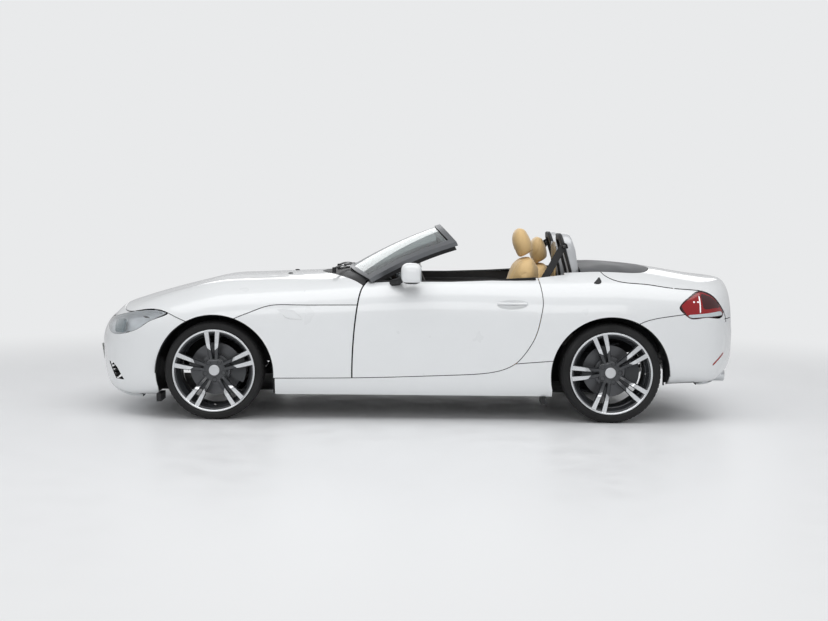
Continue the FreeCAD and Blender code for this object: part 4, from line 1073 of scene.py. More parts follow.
@dataclass
class Upholstery:
    """Blows up a sewn form the way its foam fills the cover."""

    voxel: float = 0.008
    pressure: float = 4.0
    cap: float = 0.024
    frames: int = 20

    def fill(self, made: bpy.types.Object) -> bpy.types.Object:
        """Remesh the form, run the cloth with air pressure inside, and cap how far it moved.

        Args:
            made: the closed form, a little smaller than the pad.

        Returns:
            The same object, filled.
        """
        remesh = made.modifiers.new("remesh", "REMESH")
        remesh.mode = "VOXEL"
        remesh.voxel_size = self.voxel
        remesh.use_smooth_shade = True
        baked(made)
        rest = corners(made)
        cloth = made.modifiers.new("cloth", "CLOTH")
        cloth.settings.use_pressure = True
        cloth.settings.uniform_pressure_force = self.pressure
        cloth.settings.quality = 5
        cloth.settings.tension_stiffness = 40
        cloth.settings.compression_stiffness = 40
        cloth.settings.bending_stiffness = 2
        cloth.settings.effector_weights.gravity = 0
        cloth.point_cache.frame_start, cloth.point_cache.frame_end = 1, self.frames
        for step in range(1, self.frames + 1):
            bpy.context.scene.frame_set(step)
        baked(made)
        bpy.context.scene.frame_set(1)
        moved = corners(made) - rest
        length = np.linalg.norm(moved, axis=1, keepdims=True)
        set_corners(made, rest + moved * np.minimum(1, self.cap / np.maximum(length, 1e-9)))
        return made

    def finish(self, made: bpy.types.Object, fill: float) -> bpy.types.Object:
        """Args:
            made: the pad.
            fill: from 0, slack, to 1, tight; it is not used.

        Returns:
            The same object.
        """
        level = made.modifiers.new("smooth", "SUBSURF")
        level.levels = level.render_levels = 1
        baked(made)
        made.data.polygons.foreach_set("use_smooth", [True] * len(made.data.polygons))
        return made


@dataclass
class Seat:
    """One sports seat: cushion, back with its bolsters, head restraint, pan and rails."""

    name: str
    y: float
    shift: float
    drop: float
    recline: float = 0.0
    half_width: float = 0.205
    upholstery: Upholstery = field(default_factory=Upholstery)

    def outline(self, front: Line, rear: Line,
                half_width: Callable[[np.ndarray], np.ndarray], power: float = 2.8,
                rows: int = 40) -> np.ndarray:
        """Loft between a front and a rear line seen from the side.

        Each level is a superellipse from the front line to the rear line.

        Args:
            front: (x, z) from the bottom up.
            rear: (x, z) from the bottom up.
            half_width: half width against the level, 0 to 1.
            power: how boxy the levels are.
            rows: how many levels.

        Returns:
            rows by 48 by 3.
        """
        a, b = smooth_line(front, rows), smooth_line(rear, rows)
        level = np.linspace(0, 1, rows)
        c, s = (bent(half, power) for half in circle(1.0, 48).T[:, None])
        middle, reach = (a + b) / 2, (b - a) / 2
        x = middle[:, :1] + reach[:, :1] * c + self.shift
        z = middle[:, 1:] + reach[:, 1:] * c - self.drop
        x += self.lean(z)
        y = self.y + half_width(level)[:, None] * s
        return np.stack([x, y, z], -1)

    def lean(self, z: np.ndarray) -> np.ndarray:
        """How far back the recline moves what lies at a height: in proportion from 0.45 m up."""
        return self.recline * (z - 0.45)

    def pad(self, part: str, grid: np.ndarray, upholstery: Upholstery) -> bpy.types.Object:
        """Make one closed form in hide and fill it.

        Args:
            part: the pad's name within the seat.
            grid: its points, rows by columns by 3.
            upholstery: what fills it.

        Returns:
            The pad.
        """
        made = Mesh().tube(grid).piece(f"seat_{part}_{self.name}", "seat_leather", [SEAT_LEATHER])
        return upholstery.fill(made)

    def back(self) -> bpy.types.Object:
        """The backrest, narrowing to the head restraint.

        Returns:
            The pad.
        """
        front = [(0.575, 0.41), (0.560, 0.50), (0.565, 0.65), (0.590, 0.80), (0.612, 0.88), (0.636, 0.955),
                 (0.664, 1.006), (0.690, 1.025)]
        rear = [(0.700, 0.40), (0.728, 0.50), (0.745, 0.65), (0.757, 0.80), (0.762, 0.88), (0.762, 0.955),
                (0.755, 1.020), (0.735, 1.050)]

        def width(level: np.ndarray) -> np.ndarray:
            """Nearly straight sides, drawn in over the top quarter."""
            return self.half_width * (1 - 0.62 * np.clip((level - 0.62) / 0.38, 0, 1) ** 1.7) * (
                0.9 + 0.1 * np.clip(level / 0.15, 0, 1))

        grid = self.outline(front, rear, width, power=3.2)
        side = np.abs(grid[..., 1] - self.y) / self.half_width
        height = (grid[..., 2] + self.drop - 0.42) / 0.45
        bolster = np.clip((side - 0.5) / 0.35, 0, 1) ** 1.5 * np.sin(np.pi * np.clip(height, 0, 1)) ** 0.7
        ahead = np.clip((0.66 + self.shift - grid[..., 0]) / 0.06, 0, 1)
        grid[..., 0] -= 0.050 * bolster * ahead
        made = self.pad("back", grid, self.upholstery)
        self.seam(made, lambda p: np.abs(np.abs(p[:, 1] - self.y) - 0.118), lambda p: p[:, 2] < 1.0 - self.drop)
        self.seam(made, lambda p: np.abs(p[:, 2] + self.drop - 0.80 - 0.35 * (p[:, 0] - self.shift - 0.6)),
                  lambda p: np.abs(p[:, 1] - self.y) < 1)
        return self.upholstery.finish(made, 0.85)

    def seam(self, made: bpy.types.Object, distance: Callable[[np.ndarray], np.ndarray],
             where: Callable[[np.ndarray], np.ndarray], depth: float = 0.0045, width: float = 0.006) -> None:
        """Press a sewn line into a pad: a dip of bell shape across the line, towards the pad's middle.

        Args:
            made: the pad.
            distance: how far a point is from the seam.
            where: which points the seam may touch.
            depth: how deep the dip is.
            width: how wide it is.
        """
        points = corners(made)
        normal = np.empty(len(points) * 3)
        made.data.vertices.foreach_get("normal", normal)
        dip = depth * np.exp(-(distance(points) / width) ** 2) * where(points)
        set_corners(made, points - normal.reshape(-1, 3) * dip[:, None])

    def head(self) -> bpy.types.Object:
        """The head restraint: an upright egg, narrower towards its chin.

        Returns:
            The pad.
        """
        front = [(0.668, 1.022), (0.652, 1.040), (0.630, 1.085), (0.618, 1.13), (0.622, 1.175), (0.642, 1.205),
                 (0.668, 1.216)]
        rear = [(0.735, 1.060), (0.748, 1.075), (0.746, 1.105), (0.734, 1.14), (0.716, 1.175), (0.694, 1.205),
                (0.668, 1.216)]

        def width(level: np.ndarray) -> np.ndarray:
            """Widest a little above the middle."""
            return 0.125 * np.sin(np.pi * np.clip(0.10 + 0.86 * level, 0, 1)) ** 0.45

        grid = self.outline(front, rear, width, power=2.4, rows=30)
        made = self.pad("head", grid, Upholstery(cap=0.012))

        def distance(p: np.ndarray) -> np.ndarray:
            """From the sewn line: a slanted one that bows forward most at 1.13 m."""
            z = p[:, 2] + self.drop
            return np.abs(p[:, 0] - self.shift - self.lean(p[:, 2]) - 0.645 - 0.28 * (z - 1.02)
                          + 0.9 * np.abs(z - 1.13) ** 1.5)

        self.seam(made, distance, lambda p: np.abs(p[:, 1] - self.y) < 1, depth=0.003, width=0.004)
        return self.upholstery.finish(made, 0.9)

    def cushion(self) -> bpy.types.Object:
        """The seat cushion with raised side bolsters.

        Returns:
            The pad.
        """
        x = np.linspace(0.155, 0.66, 40)
        level = np.linspace(0, 1, 40)
        c, s = (bent(half, 3.4) for half in circle(1.0, 48).T[:, None])
        ends = np.clip(np.sin(np.pi * np.clip(level * 0.98 + 0.01, 0, 1)), 0, 1)[:, None] ** 0.22
        y = self.half_width * c * (0.8 + 0.2 * ends)
        z = 0.360 - 0.045 * level[:, None] + 0.062 * s * ends
        z += 0.035 * np.clip(np.abs(y) / self.half_width - 0.55, 0, 1) * 2 * (s > 0)
        grid = np.stack([np.broadcast_to(x[:, None], y.shape) + self.shift, self.y + y, z], -1)
        made = self.pad("cushion", grid, Upholstery(cap=0.010))
        self.seam(made, lambda p: np.abs(np.abs(p[:, 1] - self.y) - 0.125), lambda p: p[:, 2] > 0.34)
        self.seam(made, lambda p: np.abs(p[:, 0] - self.shift - 0.33), lambda p: p[:, 2] > 0.34)
        return self.upholstery.finish(made, 0.8)

    def frame_parts(self) -> bpy.types.Object:
        """Rails on the floor, the pan's moulded sides and the pan.

        Returns:
            The piece.
        """
        mesh = Mesh()
        for hand in (-1, 1):
            y = self.y + hand * 0.17
            mesh.grid(blob((0.40 + self.shift, y, 0.189), (0.26, 0.018, 0.0115), 8, 9, 16))
            mesh.grid(blob((0.42 + self.shift, self.y + hand * 0.196, 0.275), (0.22, 0.014, 0.07), 4, 13, 24))
        mesh.grid(blob((0.40 + self.shift, self.y, 0.255), (0.23, 0.185, 0.05), 6, 13, 32))
        return mesh.piece("seat_frame_" + self.name, "interior", [BLACK_PP])

    def build(self) -> None:
        """Make the seat."""
        self.frame_parts()
        self.cushion()
        self.back()
        self.head()


@dataclass(frozen=True)
class Layer:
    """One patch of a lamp or a trim piece: its outline, how it lies and which material it takes."""

    outline: Line
    lift: Any
    thickness: float
    slot: int = 0
    count: int = 48
    share: float = 1.0
    rings: Sequence[float] = FULL


def layered(node: str, out: Sequence[float], *layers: Layer) -> Mesh:
    """Lay patches on a node's left-hand side, and their mirror images on the right.

    Args:
        node: the node that they lie on.
        out: the direction away from the body.
        layers: the patches, in order.

    Returns:
        The mesh that holds them.
    """
    mesh = Mesh()
    for layer in layers:
        points = plate(scaled(layer.outline, layer.share), node, layer.rings, layer.lift, layer.thickness, out,
                       layer.count)
        mesh.pair(points, layer.slot, wrap_rows=layer.rings[0] > 0, wrap_columns=True)
    return mesh


def sheet(skin: np.ndarray, thickness: float) -> np.ndarray:
    """Close a patch into a thin sheet: the same points once more, the thickness further along X."""
    return np.concatenate([skin, (skin + (thickness, 0, 0))[:, ::-1]], 1)


@dataclass
class HeadLamps:
    """Both headlamps: clear lens, bright bowl, smoke-blue unit, two projectors and a dark seam."""

    outline: Line = (
        (-1.582, 0.670), (-1.650, 0.682), (-1.757, 0.674), (-1.857, 0.657), (-1.911, 0.641), (-1.965, 0.627),
        (-2.020, 0.607), (-2.026, 0.582), (-2.010, 0.552), (-1.985, 0.530), (-1.940, 0.521), (-1.843, 0.536),
        (-1.752, 0.573), (-1.673, 0.622))
    unit: Line = (
        (-1.950, 0.610), (-1.915, 0.614), (-1.886, 0.616), (-1.880, 0.575), (-1.886, 0.540), (-1.915, 0.537),
        (-1.944, 0.538), (-1.955, 0.575))
    slot: Line = ((-1.744, 0.642), (-1.720, 0.643), (-1.697, 0.636), (-1.722, 0.633))
    bowl_lift: Sequence[float] = (-0.046, -0.046, -0.046, -0.045, -0.042, -0.036, -0.028, -0.020, -0.012,
                                  -0.007, -0.005)
    projectors: Sequence[float] = (-1.990, -1.930)
    projector_height: float = 0.577
    out: Sequence[float] = (-0.45, -0.85, 0.25)
    node: str = "headlamps"

    def build(self) -> None:
        """Make the pieces of both lamps."""
        lens = layered(self.node, self.out, Layer(self.outline, 0.0, 0.0028, 0, 96, 0.985))
        made = lens.piece("headlamp_lenses", "clear_panel", [POLYCARBONATE])
        bowl = layered(self.node, self.out, Layer(self.outline, self.bowl_lift, 0.004, 0, 96, 0.97),
                       Layer(self.outline, -0.0035, 0.0015, 0, 96, 0.985, EDGE),
                       Layer(self.unit, -0.010, 0.020, 1), Layer(self.slot, -0.004, 0.006, 2, 24))
        ring = [(0.030, -0.03), (0.034, 0.0), (0.033, 0.006), (0.029, 0.006), (0.027, -0.004)]
        dome = [(0.0270, -0.006), (0.0265, 0.0), (0.022, 0.009), (0.012, 0.014), (0.0, 0.016)]
        for x in self.projectors:
            start = np.array([[x, SIDE_START, self.projector_height]])
            at = draped(start, self.node)[0] + (0.045, 0.045, 0)
            bowl.pair(turned(ring, at, (-1, -0.1, 0), 40), 0, wrap_rows=True, wrap_columns=True)
            # The domes glow faintly white: a painted highlight
            bowl.pair(turned(dome, at, (-1, -0.1, 0), 40), 3, wrap_rows=True)
        bowl.piece("headlamp_bowls", "clear_panel", [REFLECTOR, PROJECTOR, GLOSS_BLACK, GUIDE_PAINTED_HIGHLIGHT])
        seam = layered(self.node, self.out, Layer(self.outline, -0.0006, 0.004, 0, 128, 1.0, SEAM))
        seam.piece("headlamp_seals", "black_plastic", [SEAL])
        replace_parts(made, self.node)


@dataclass
class TailLamps:
    """Both tail lamps: red lens with a darker rim, a light guide and two bulbs on the lens that glow faintly
    white as painted highlights, and a clear lower strip.
    """

    outline: Line = (
        (1.638, 0.738), (1.655, 0.760), (1.696, 0.791), (1.776, 0.831), (1.848, 0.809), (1.886, 0.778),
        (1.917, 0.736), (1.942, 0.700), (1.936, 0.676), (1.823, 0.667), (1.706, 0.662), (1.666, 0.690))
    strip: Line = (
        (1.694, 0.684), (1.760, 0.690), (1.830, 0.696), (1.905, 0.704), (1.926, 0.694), (1.922, 0.680),
        (1.850, 0.674), (1.780, 0.671), (1.715, 0.668))
    dark: Line = (
        (1.786, 0.812), (1.846, 0.796), (1.884, 0.764), (1.906, 0.730), (1.870, 0.726), (1.800, 0.722),
        (1.786, 0.765))
    guide: Line = ((1.766, 0.797), (1.772, 0.797), (1.774, 0.750), (1.773, 0.703), (1.767, 0.703),
                   (1.767, 0.750))
    # Middles of two small white glowing spots on the lens: painted highlights of the bulbs
    bulb_highlights: Line = ((1.731, 0.765), (1.758, 0.765))
    bulb_radius: float = 0.0055
    out: Sequence[float] = (0.35, -0.93, 0.1)
    node: str = "tail_lamps"

    def build(self) -> None:
        """Make the pieces of both lamps."""
        # The guide and the bulb spots glow faintly white: painted highlights
        bulb_highlights = [Layer(np.array(bulb) + circle(self.bulb_radius, 8), 0.0012, 0.003, 3, 24)
                 for bulb in self.bulb_highlights]
        lens = layered(self.node, self.out, Layer(self.outline, 0.0, 0.004, 0, 96, 0.985),
                       Layer(self.outline, 0.0008, 0.003, 1, 96, 0.985, EDGE),
                       Layer(self.dark, 0.0005, 0.003, 1), Layer(self.strip, 0.0010, 0.003, 2),
                       Layer(self.guide, 0.0012, 0.003, 3, 32), *bulb_highlights)
        made = lens.piece("tail_lamp_lenses", "red_lens", [RED_LENS, DARK_LENS, CLEAR_STRIP, GUIDE_PAINTED_HIGHLIGHT])
        box = layered(self.node, self.out, Layer(self.outline, -0.010, 0.006, 0, 96, 0.96),
                      Layer(self.outline, -0.0006, 0.004, 0, 128, 1.0, SEAM))
        box.piece("tail_lamp_housings", "black_plastic", [BLACK_PP])
        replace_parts(made, self.node)


@dataclass
class NoseTrim:
    """Trim of the front end: intake louvres, blank number plate and washer jets."""

    louvre_levels: Sequence[float] = (0.208, 0.236, 0.264, 0.290)
    louvre_half: float = 0.36
    plate_half: tuple[float, float] = (0.260, 0.050)
    plate_height: float = 0.368
    jets: Line = ((-0.850, -0.27), (-0.850, 0.27))

    def build(self) -> None:
        """Make the pieces."""
        louvres = Mesh()
        bar = np.array([(-0.02, -0.0035), (0.018, -0.0035), (0.022, 0.0), (0.018, 0.0035), (-0.02, 0.0035)])
        y = np.linspace(-self.louvre_half, self.louvre_half, 41)
        for height in self.louvre_levels:
            louvres.tube(sweep(np.stack([-2.028 + 0.16 * y ** 2, y, np.full(41, height)], -1), bar))
        louvres.piece("intake_louvres", "black_plastic", [BLACK_PP])
        Mesh().tube(self.sign()).piece("front_plate", "black_plastic", [PLATE])
        jets = Mesh()
        for x, y in self.jets:
            foot = draped(np.array([[x, y, 1.3]]), "bonnet", "Z", False)[0]
            jets.grid(blob(foot + (0, 0, 0.001), (0.016, 0.011, 0.0055), 2.6, 9, 20))
        jets.piece("washer_jets", "black_plastic", [BLACK_PP], "bonnet")

    def sign(self) -> np.ndarray:
        """A blank number plate, bowed and leaning back like the bumper's face.

        Returns:
            25 by 14 by 3; the columns go once round it.
        """
        wide, high = self.plate_half
        yy, zz = np.meshgrid(np.linspace(-1, 1, 25) * wide, self.plate_height + np.linspace(-1, 1, 7) * high,
                             indexing="ij")
        face = draped(np.stack([np.full(yy.shape, -2.4), yy, zz], -1), "front_bumper", "X")[..., 0].min()
        x = face + 0.10 * yy ** 2 + 0.16 * (self.plate_height + high - zz)
        return sheet(np.stack([x - 0.0045, yy, zz], -1), 0.0035)


@dataclass
class TailTrim:
    """Trim of the rear end: reflectors, valance, exhaust tips and blank number plate."""

    reflector: Line = ((1.874, 0.362), (1.900, 0.384), (1.936, 0.413), (1.952, 0.430), (1.946, 0.436),
                       (1.920, 0.414), (1.884, 0.384), (1.868, 0.368))
    valance: Line = ((1.50, 0.222), (1.60, 0.224), (1.70, 0.232), (1.76, 0.240), (1.76, 0.252), (1.70, 0.246),
                     (1.60, 0.238), (1.50, 0.236))
    sleeve: Line = ((0.0432, -0.10), (0.0440, -0.02), (0.0446, -0.004), (0.0436, 0.0), (0.0412, -0.002),
                    (0.040, -0.01), (0.040, -0.10))
    tip: Sequence[float] = (1.984, -0.56, 0.282)

    def build(self) -> None:
        """Make the pieces."""
        marks = layered("rear_bumper", (0.3, -0.95, 0), Layer(self.reflector, 0.0012, 0.004, 0, 64))
        marks.piece("rear_reflectors", "red_lens", [RED_LENS])
        strip = layered("rear_bumper", (0, -1, 0), Layer(self.valance, 0.0012, 0.004, 0, 64))
        strip.piece("rear_valance", "black_plastic", [BLACK_PP])
        tips = Mesh().pair(turned(self.sleeve, self.tip, (1, 0, 0), 56), wrap_rows=True, wrap_columns=True)
        tips.piece("exhaust_tips", "black_plastic", [CHROME])
        Mesh().tube(self.sign()).piece("rear_plate", "black_plastic", [PLATE], "boot_lid")

    def sign(self) -> np.ndarray:
        """Blank number plate that follows the boot lid's lower face.

        Returns:
            25 by 14 by 3; the columns go once round it.
        """
        yy, zz = np.meshgrid(np.linspace(-0.26, 0.26, 25), np.linspace(0.690, 0.790, 7), indexing="ij")
        face = draped(np.stack([np.full(yy.shape, 2.4), yy, zz], -1), "boot_lid", "X", False)[..., 0]
        hit = face < 2.39
        x = np.where(hit, face, face[hit].max()) + 0.0005
        return sheet(np.stack([x + 0.004, yy, zz], -1), -0.004)


@dataclass
class SideTrim:
    """Flush pieces of the sides: indicators in the fenders, dark wedges behind the doors, door seals."""

    indicator: Line = ((-0.878, 0.695), (-0.853, 0.670), (-0.829, 0.652), (-0.800, 0.643), (-0.762, 0.640),
                       (-0.730, 0.640), (-0.752, 0.667), (-0.772, 0.682), (-0.792, 0.695), (-0.836, 0.697))
    wedge: Line = ((1.108, 0.876), (1.118, 0.886), (1.132, 0.898), (1.146, 0.910), (1.153, 0.900),
                   (1.156, 0.884), (1.146, 0.874), (1.126, 0.871))
    belt: Line = ((-0.340, 0.877), (-0.108, 0.873), (0.208, 0.875), (0.524, 0.887), (0.764, 0.902))
    seal: Line = ((-0.006, -0.010), (0.006, -0.010), (0.007, 0.002), (0.003, 0.006), (-0.003, 0.006))
    seal_y: float = 0.722

    def build(self) -> None:
        """Make the pieces."""
        lens = Mesh().pair(self.lens(), wrap_columns=True)
        lens.piece("side_indicators", "body_paint", [PAINT])
        wedges = layered("rear_quarters", (0, -0.8, 0.6), Layer(self.wedge, 0.003, 0.006, 0, 40))
        wedges.piece("quarter_wedges", "black_plastic", [BLACK_PP])
        x = np.linspace(-0.26, 0.745, 60)
        belt = np.interp(x, *np.transpose(self.belt)) + 0.001
        for side, sign in SIDES.items():
            path = np.stack([x, np.full(60, sign * self.seal_y), belt], -1)
            Mesh().tube(sweep(path, np.array(self.seal))).piece("door_seal_" + side, "black_plastic", [SEAL],
                                                                "door_" + side)

    def lens(self) -> np.ndarray:
        """The left-hand indicator, on the plane that fits the fender round it best.

        The plane is y = level + along x + up z by least squares through points on the fender.

        Returns:
            Twice as many rows as rings, by 48, by 3; columns join up.
        """
        outline = loop(self.indicator, 48)
        skin = draped(beside(scaled(outline, 1.3)), "front_fenders")
        skin = skin[skin[:, 1] > SIDE_START + 0.01]
        terms = np.stack([np.ones(len(skin)), skin[:, 0], skin[:, 2]], -1)
        level, along, up = np.linalg.lstsq(terms, skin[:, 1], rcond=None)[0]
        ring = fan(outline, FULL)
        outer = np.stack([ring[..., 0], level + along * ring[..., 0] + up * ring[..., 1], ring[..., 1]], -1)
        return np.concatenate([outer, (outer + (0, 0.006, 0))[::-1]])


@dataclass
class Screen:
    """Dark pillar linings, shade band, interior mirror and wipers of the windscreen."""

    half_base: float = 0.72
    half_head: float = 0.548
    wipers: Sequence[Line] = (((-0.545, 0.06), (-0.470, 0.54)), ((-0.545, -0.54), (-0.480, -0.07)))

    def surface(self, u: np.ndarray, v: np.ndarray, off: np.ndarray) -> np.ndarray:
        """Points on the windscreen.

        Straight lines run from the base curve to the header, both parabolas across the car, with
        an outward bow of 18 mm in the middle of each line.

        Args:
            u: across, from -1 to 1.
            v: up, from 0 to 1.
            off: metres off the surface, outwards.

        Returns:
            Points in the frame.
        """
        base = np.stack([-0.450 + 0.144 * u ** 2, self.half_base * u, 0.944 - 0.055 * u * u], -1)
        head = np.stack([0.138 + 0.092 * u * u, self.half_head * u, 1.218 - 0.098 * u * u], -1)
        away = np.stack([np.full_like(u, -0.43), 0.35 * u, np.full_like(u, 0.9)], -1)
        bow = 0.072 * v * (1 - v)
        return base + (head - base) * v[..., None] + away * np.stack([off + bow, off, off + bow], -1)

    def band(self, across: Sequence[float], up: Sequence[float], offsets: Sequence[float]) -> np.ndarray:
        """A strip along the screen as a closed tube.

        Args:
            across: its first and last edge across.
            up: its first and last edge up the screen.
            offsets: how far its underside and its outside stand off the screen.

        Returns:
            30 by 16 by 3; the columns go once round the strip.
        """
        u = np.linspace(*across, 8)
        vv, uu = np.meshgrid(np.linspace(*up, 30), np.concatenate([u, u[::-1]]), indexing="ij")
        return self.surface(uu, vv, np.broadcast_to(np.repeat(offsets[::-1], 8), vv.shape))

    def build(self) -> None:
        """Make the pieces."""
        lining = Mesh().pair(self.band((-1.035, -0.955), (0.03, 0.985), (-0.042, -0.018)), wrap_columns=True,
                             caps=True)
        lining.piece("pillar_linings", "interior", [DASH_FOIL])
        shade = Mesh().tube(self.band((-0.93, 0.93), (0.90, 0.952), (-0.0052, -0.0038)))
        shade.piece("screen_shade_band", "clear_glass", [GLOSS_BLACK])
        mirror = Mesh()
        mirror.grid(blob((0.135, 0, 1.128), (0.014, 0.118, 0.032), 3.2, 13, 40))
        mirror.grid(blob((0.1485, 0, 1.128), (0.002, 0.108, 0.026), 3.2, 9, 40), 1)
        stem = smooth_line([(0.128, 0, 1.15), (0.122, 0, 1.175), (0.126, 0, 1.200)], 8)
        mirror.tube(sweep(stem, circle(0.011, 14), (0, 1, 0)))
        mirror.piece("interior_mirror", "black_plastic", [BLACK_PP, SILVERED])
        self.wiper_arms()

    def wiper_arms(self) -> None:
        """Two arms from their pivots, each with a blade that lies along the glass's lower edge."""
        mesh = Mesh()
        arm = np.array([(-0.008, -0.003), (0.008, -0.003), (0.006, 0.003), (-0.006, 0.003)])
        fin = np.array([(-0.004, -0.006), (0.004, -0.006), (0.006, 0.001), (0.0, 0.008), (-0.006, 0.001)])
        pivot = [(0.013, -0.03), (0.013, 0.004), (0.010, 0.008), (0.0, 0.009)]
        t = np.linspace(0, 1, 24)[:, None]
        for start, end in self.wipers:
            a, b = np.array([*start, 0.945]), np.array([*end, 0.940])
            path = a + (b - a) * t + np.array([0, 0, 0.012]) * np.sin(np.pi * t)
            mesh.tube(sweep(path, arm[None] * (1.3 - 0.6 * t)[..., None]))
            mesh.tube(sweep(a + (0.012, 0, -0.002) + (b - a) * (0.25 + 0.74 * t), fin))
            mesh.grid(turned(pivot, a, (0, 0, 1), 24), wrap_rows=True)
        made = mesh.piece("wiper_arms", "black_plastic", [BLACK_PP])
        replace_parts(made, "wipers")


@dataclass
class Hoops:
    """Two roll hoops: a black band in front, a rounded silver shell behind."""

    half: float = 0.149
    top: float = 1.162
    foot: float = 0.862
    corner: float = 0.085
    tube: float = 0.0205
    # Edges of the side view against height, and the section: share of the depth, share of the tube
    front: Line = ((0.860, 0.992), (0.947, 0.975), (1.190, 0.902))
    rear: Line = ((0.860, 1.040), (0.940, 1.040), (1.080, 1.016), (1.166, 0.987), (1.190, 0.975))
    section: Line = ((0, -0.7), (0, 0.7), (0.07, 1), (0.24, 1), (0.25, 0.9), (0.28, 1), (0.62, 1),
                     (0.86, 0.85), (0.97, 0.5), (1.0, 0), (0.97, -0.5), (0.86, -0.85), (0.62, -1), (0.28, -1),
                     (0.25, -0.9), (0.24, -1), (0.07, -1))
    shell: tuple[int, int] = (4, 14)

    def build(self) -> None:
        """Carry a section along the arch; its depth follows the side view's front and rear lines."""
        mesh = Mesh()
        bend = np.linspace(0, np.pi / 2, 12)[:, None]
        shoulder = self.top - self.corner
        left = np.concatenate([
            np.stack([np.full(14, -self.half), np.linspace(self.foot, shoulder, 14)], -1),
            np.concatenate([-self.half + self.corner - self.corner * np.cos(bend),
                            shoulder + self.corner * np.sin(bend)], 1)[1:],
            np.stack([np.linspace(-self.half + self.corner, 0, 8), np.full(8, self.top)], -1)[1:]])
        path = np.concatenate([left, (left[:-1] * (-1, 1))[::-1]])
        along = np.gradient(path, axis=0)
        along /= np.linalg.norm(along, axis=1, keepdims=True)
        z = path[:, 1]
        front, rear = (np.interp(z, *np.transpose(line)) for line in (self.front, self.rear))
        share, reach = np.transpose(self.section)[:, None]
        slots = np.zeros((len(path), len(self.section)), int)
        slots[:, slice(*self.shell)] = 1
        for y in SEAT_MIDDLES:
            points = np.stack([front[:, None] + (rear - front)[:, None] * share,
                               y + path[:, :1] - along[:, 1:] * reach * self.tube,
                               z[:, None] + along[:, :1] * reach * self.tube], -1)
            points[..., 2] = np.maximum(points[..., 2], self.foot)
            mesh.grid(points, slots, wrap_columns=True, caps=True)
        made = mesh.piece("roll_hoop_shells", "black_plastic", [BLACK_PP, SILVER_SHELL], crease_deg=40)
        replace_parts(made, "roll_hoops")


@dataclass
class Belts:
    """Shoulder belts from their guides by the hoops down to the sills, with guide loops and tongues."""

    half_width: float = 0.023
    thickness: float = 0.0012
    path: Line = ((0.942, -0.588, 1.085), (0.932, -0.600, 1.103), (0.905, -0.606, 1.062),
                  (0.850, -0.622, 0.965), (0.800, -0.637, 0.880), (0.772, -0.640, 0.820),
                  (0.762, -0.640, 0.700))

    def build(self) -> None:
        """Make the straps and their fittings."""
        w, t = self.half_width, self.thickness
        section = np.array([(-w, 0.0), (-w * 0.5, t), (w * 0.5, t), (w, 0.0), (w * 0.5, -t), (-w * 0.5, -t)])
        strap = Mesh().pair(sweep(smooth_line(self.path, 60), section, (0.35, 1, 0.1)), wrap_columns=True,
                            caps=True)
        made = strap.piece("belt_straps", "belt_webbing", [WEBBING])
        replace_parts(made, "seat_belts")
        guides = Mesh().pair(blob((0.934, -0.600, 1.100), (0.012, 0.030, 0.012), 3.5, 11, 24))
        guides.pair(blob((0.778, -0.641, 0.842), (0.020, 0.010, 0.026), 4, 11, 24))
        guides.piece("belt_guides", "black_plastic", [GLOSS_BLACK])


@dataclass
class Mirrors:
    """Door mirrors: dark feet, silvered glasses and painted shells with dark undersides."""

    middle: Sequence[float] = (-0.042, -0.876, 0.932)
    back_x: float = 0.016
    dark_below: float = 0.876

    def build(self) -> None:
        """Make both mirrors' parts, each on its door."""
        foot = smooth_line([(-0.148, -0.752, 0.866), (-0.130, -0.785, 0.878), (-0.100, -0.825, 0.893),
                            (-0.070, -0.852, 0.903)], 16)
        section = circle(1.0, 24) * (0.034, 0.021)
        foot = sweep(foot, section[None] * np.linspace(1.15, 0.72, 16)[:, None, None])
        glass = blob((0.0175, *self.middle[1:]), (0.0024, 0.078, 0.050), 3.4, 13, 48)
        shell = blob(self.middle, (0.068, 0.0965, 0.0665), 3.0, 33, 64)
        shell[..., 0] = np.minimum(shell[..., 0], self.back_x)
        dark = (shell[..., 0] > self.back_x - 0.0005) | (shell[..., 2] < self.dark_below)
        for side, sign in SIDES.items():
            flip = np.array([1.0, -sign, 1.0])
            Mesh().tube(foot * flip).grid(glass * flip, 1).piece(
                "mirror_fittings_" + side, "black_plastic", [BLACK_PP, SILVERED], "door_" + side)
            made = Mesh().grid(shell * flip, dark).piece("mirror_shell_" + side, "body_paint",
                                                         [PAINT, BLACK_PP], "door_" + side)
            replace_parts(made, "mirror_" + side)


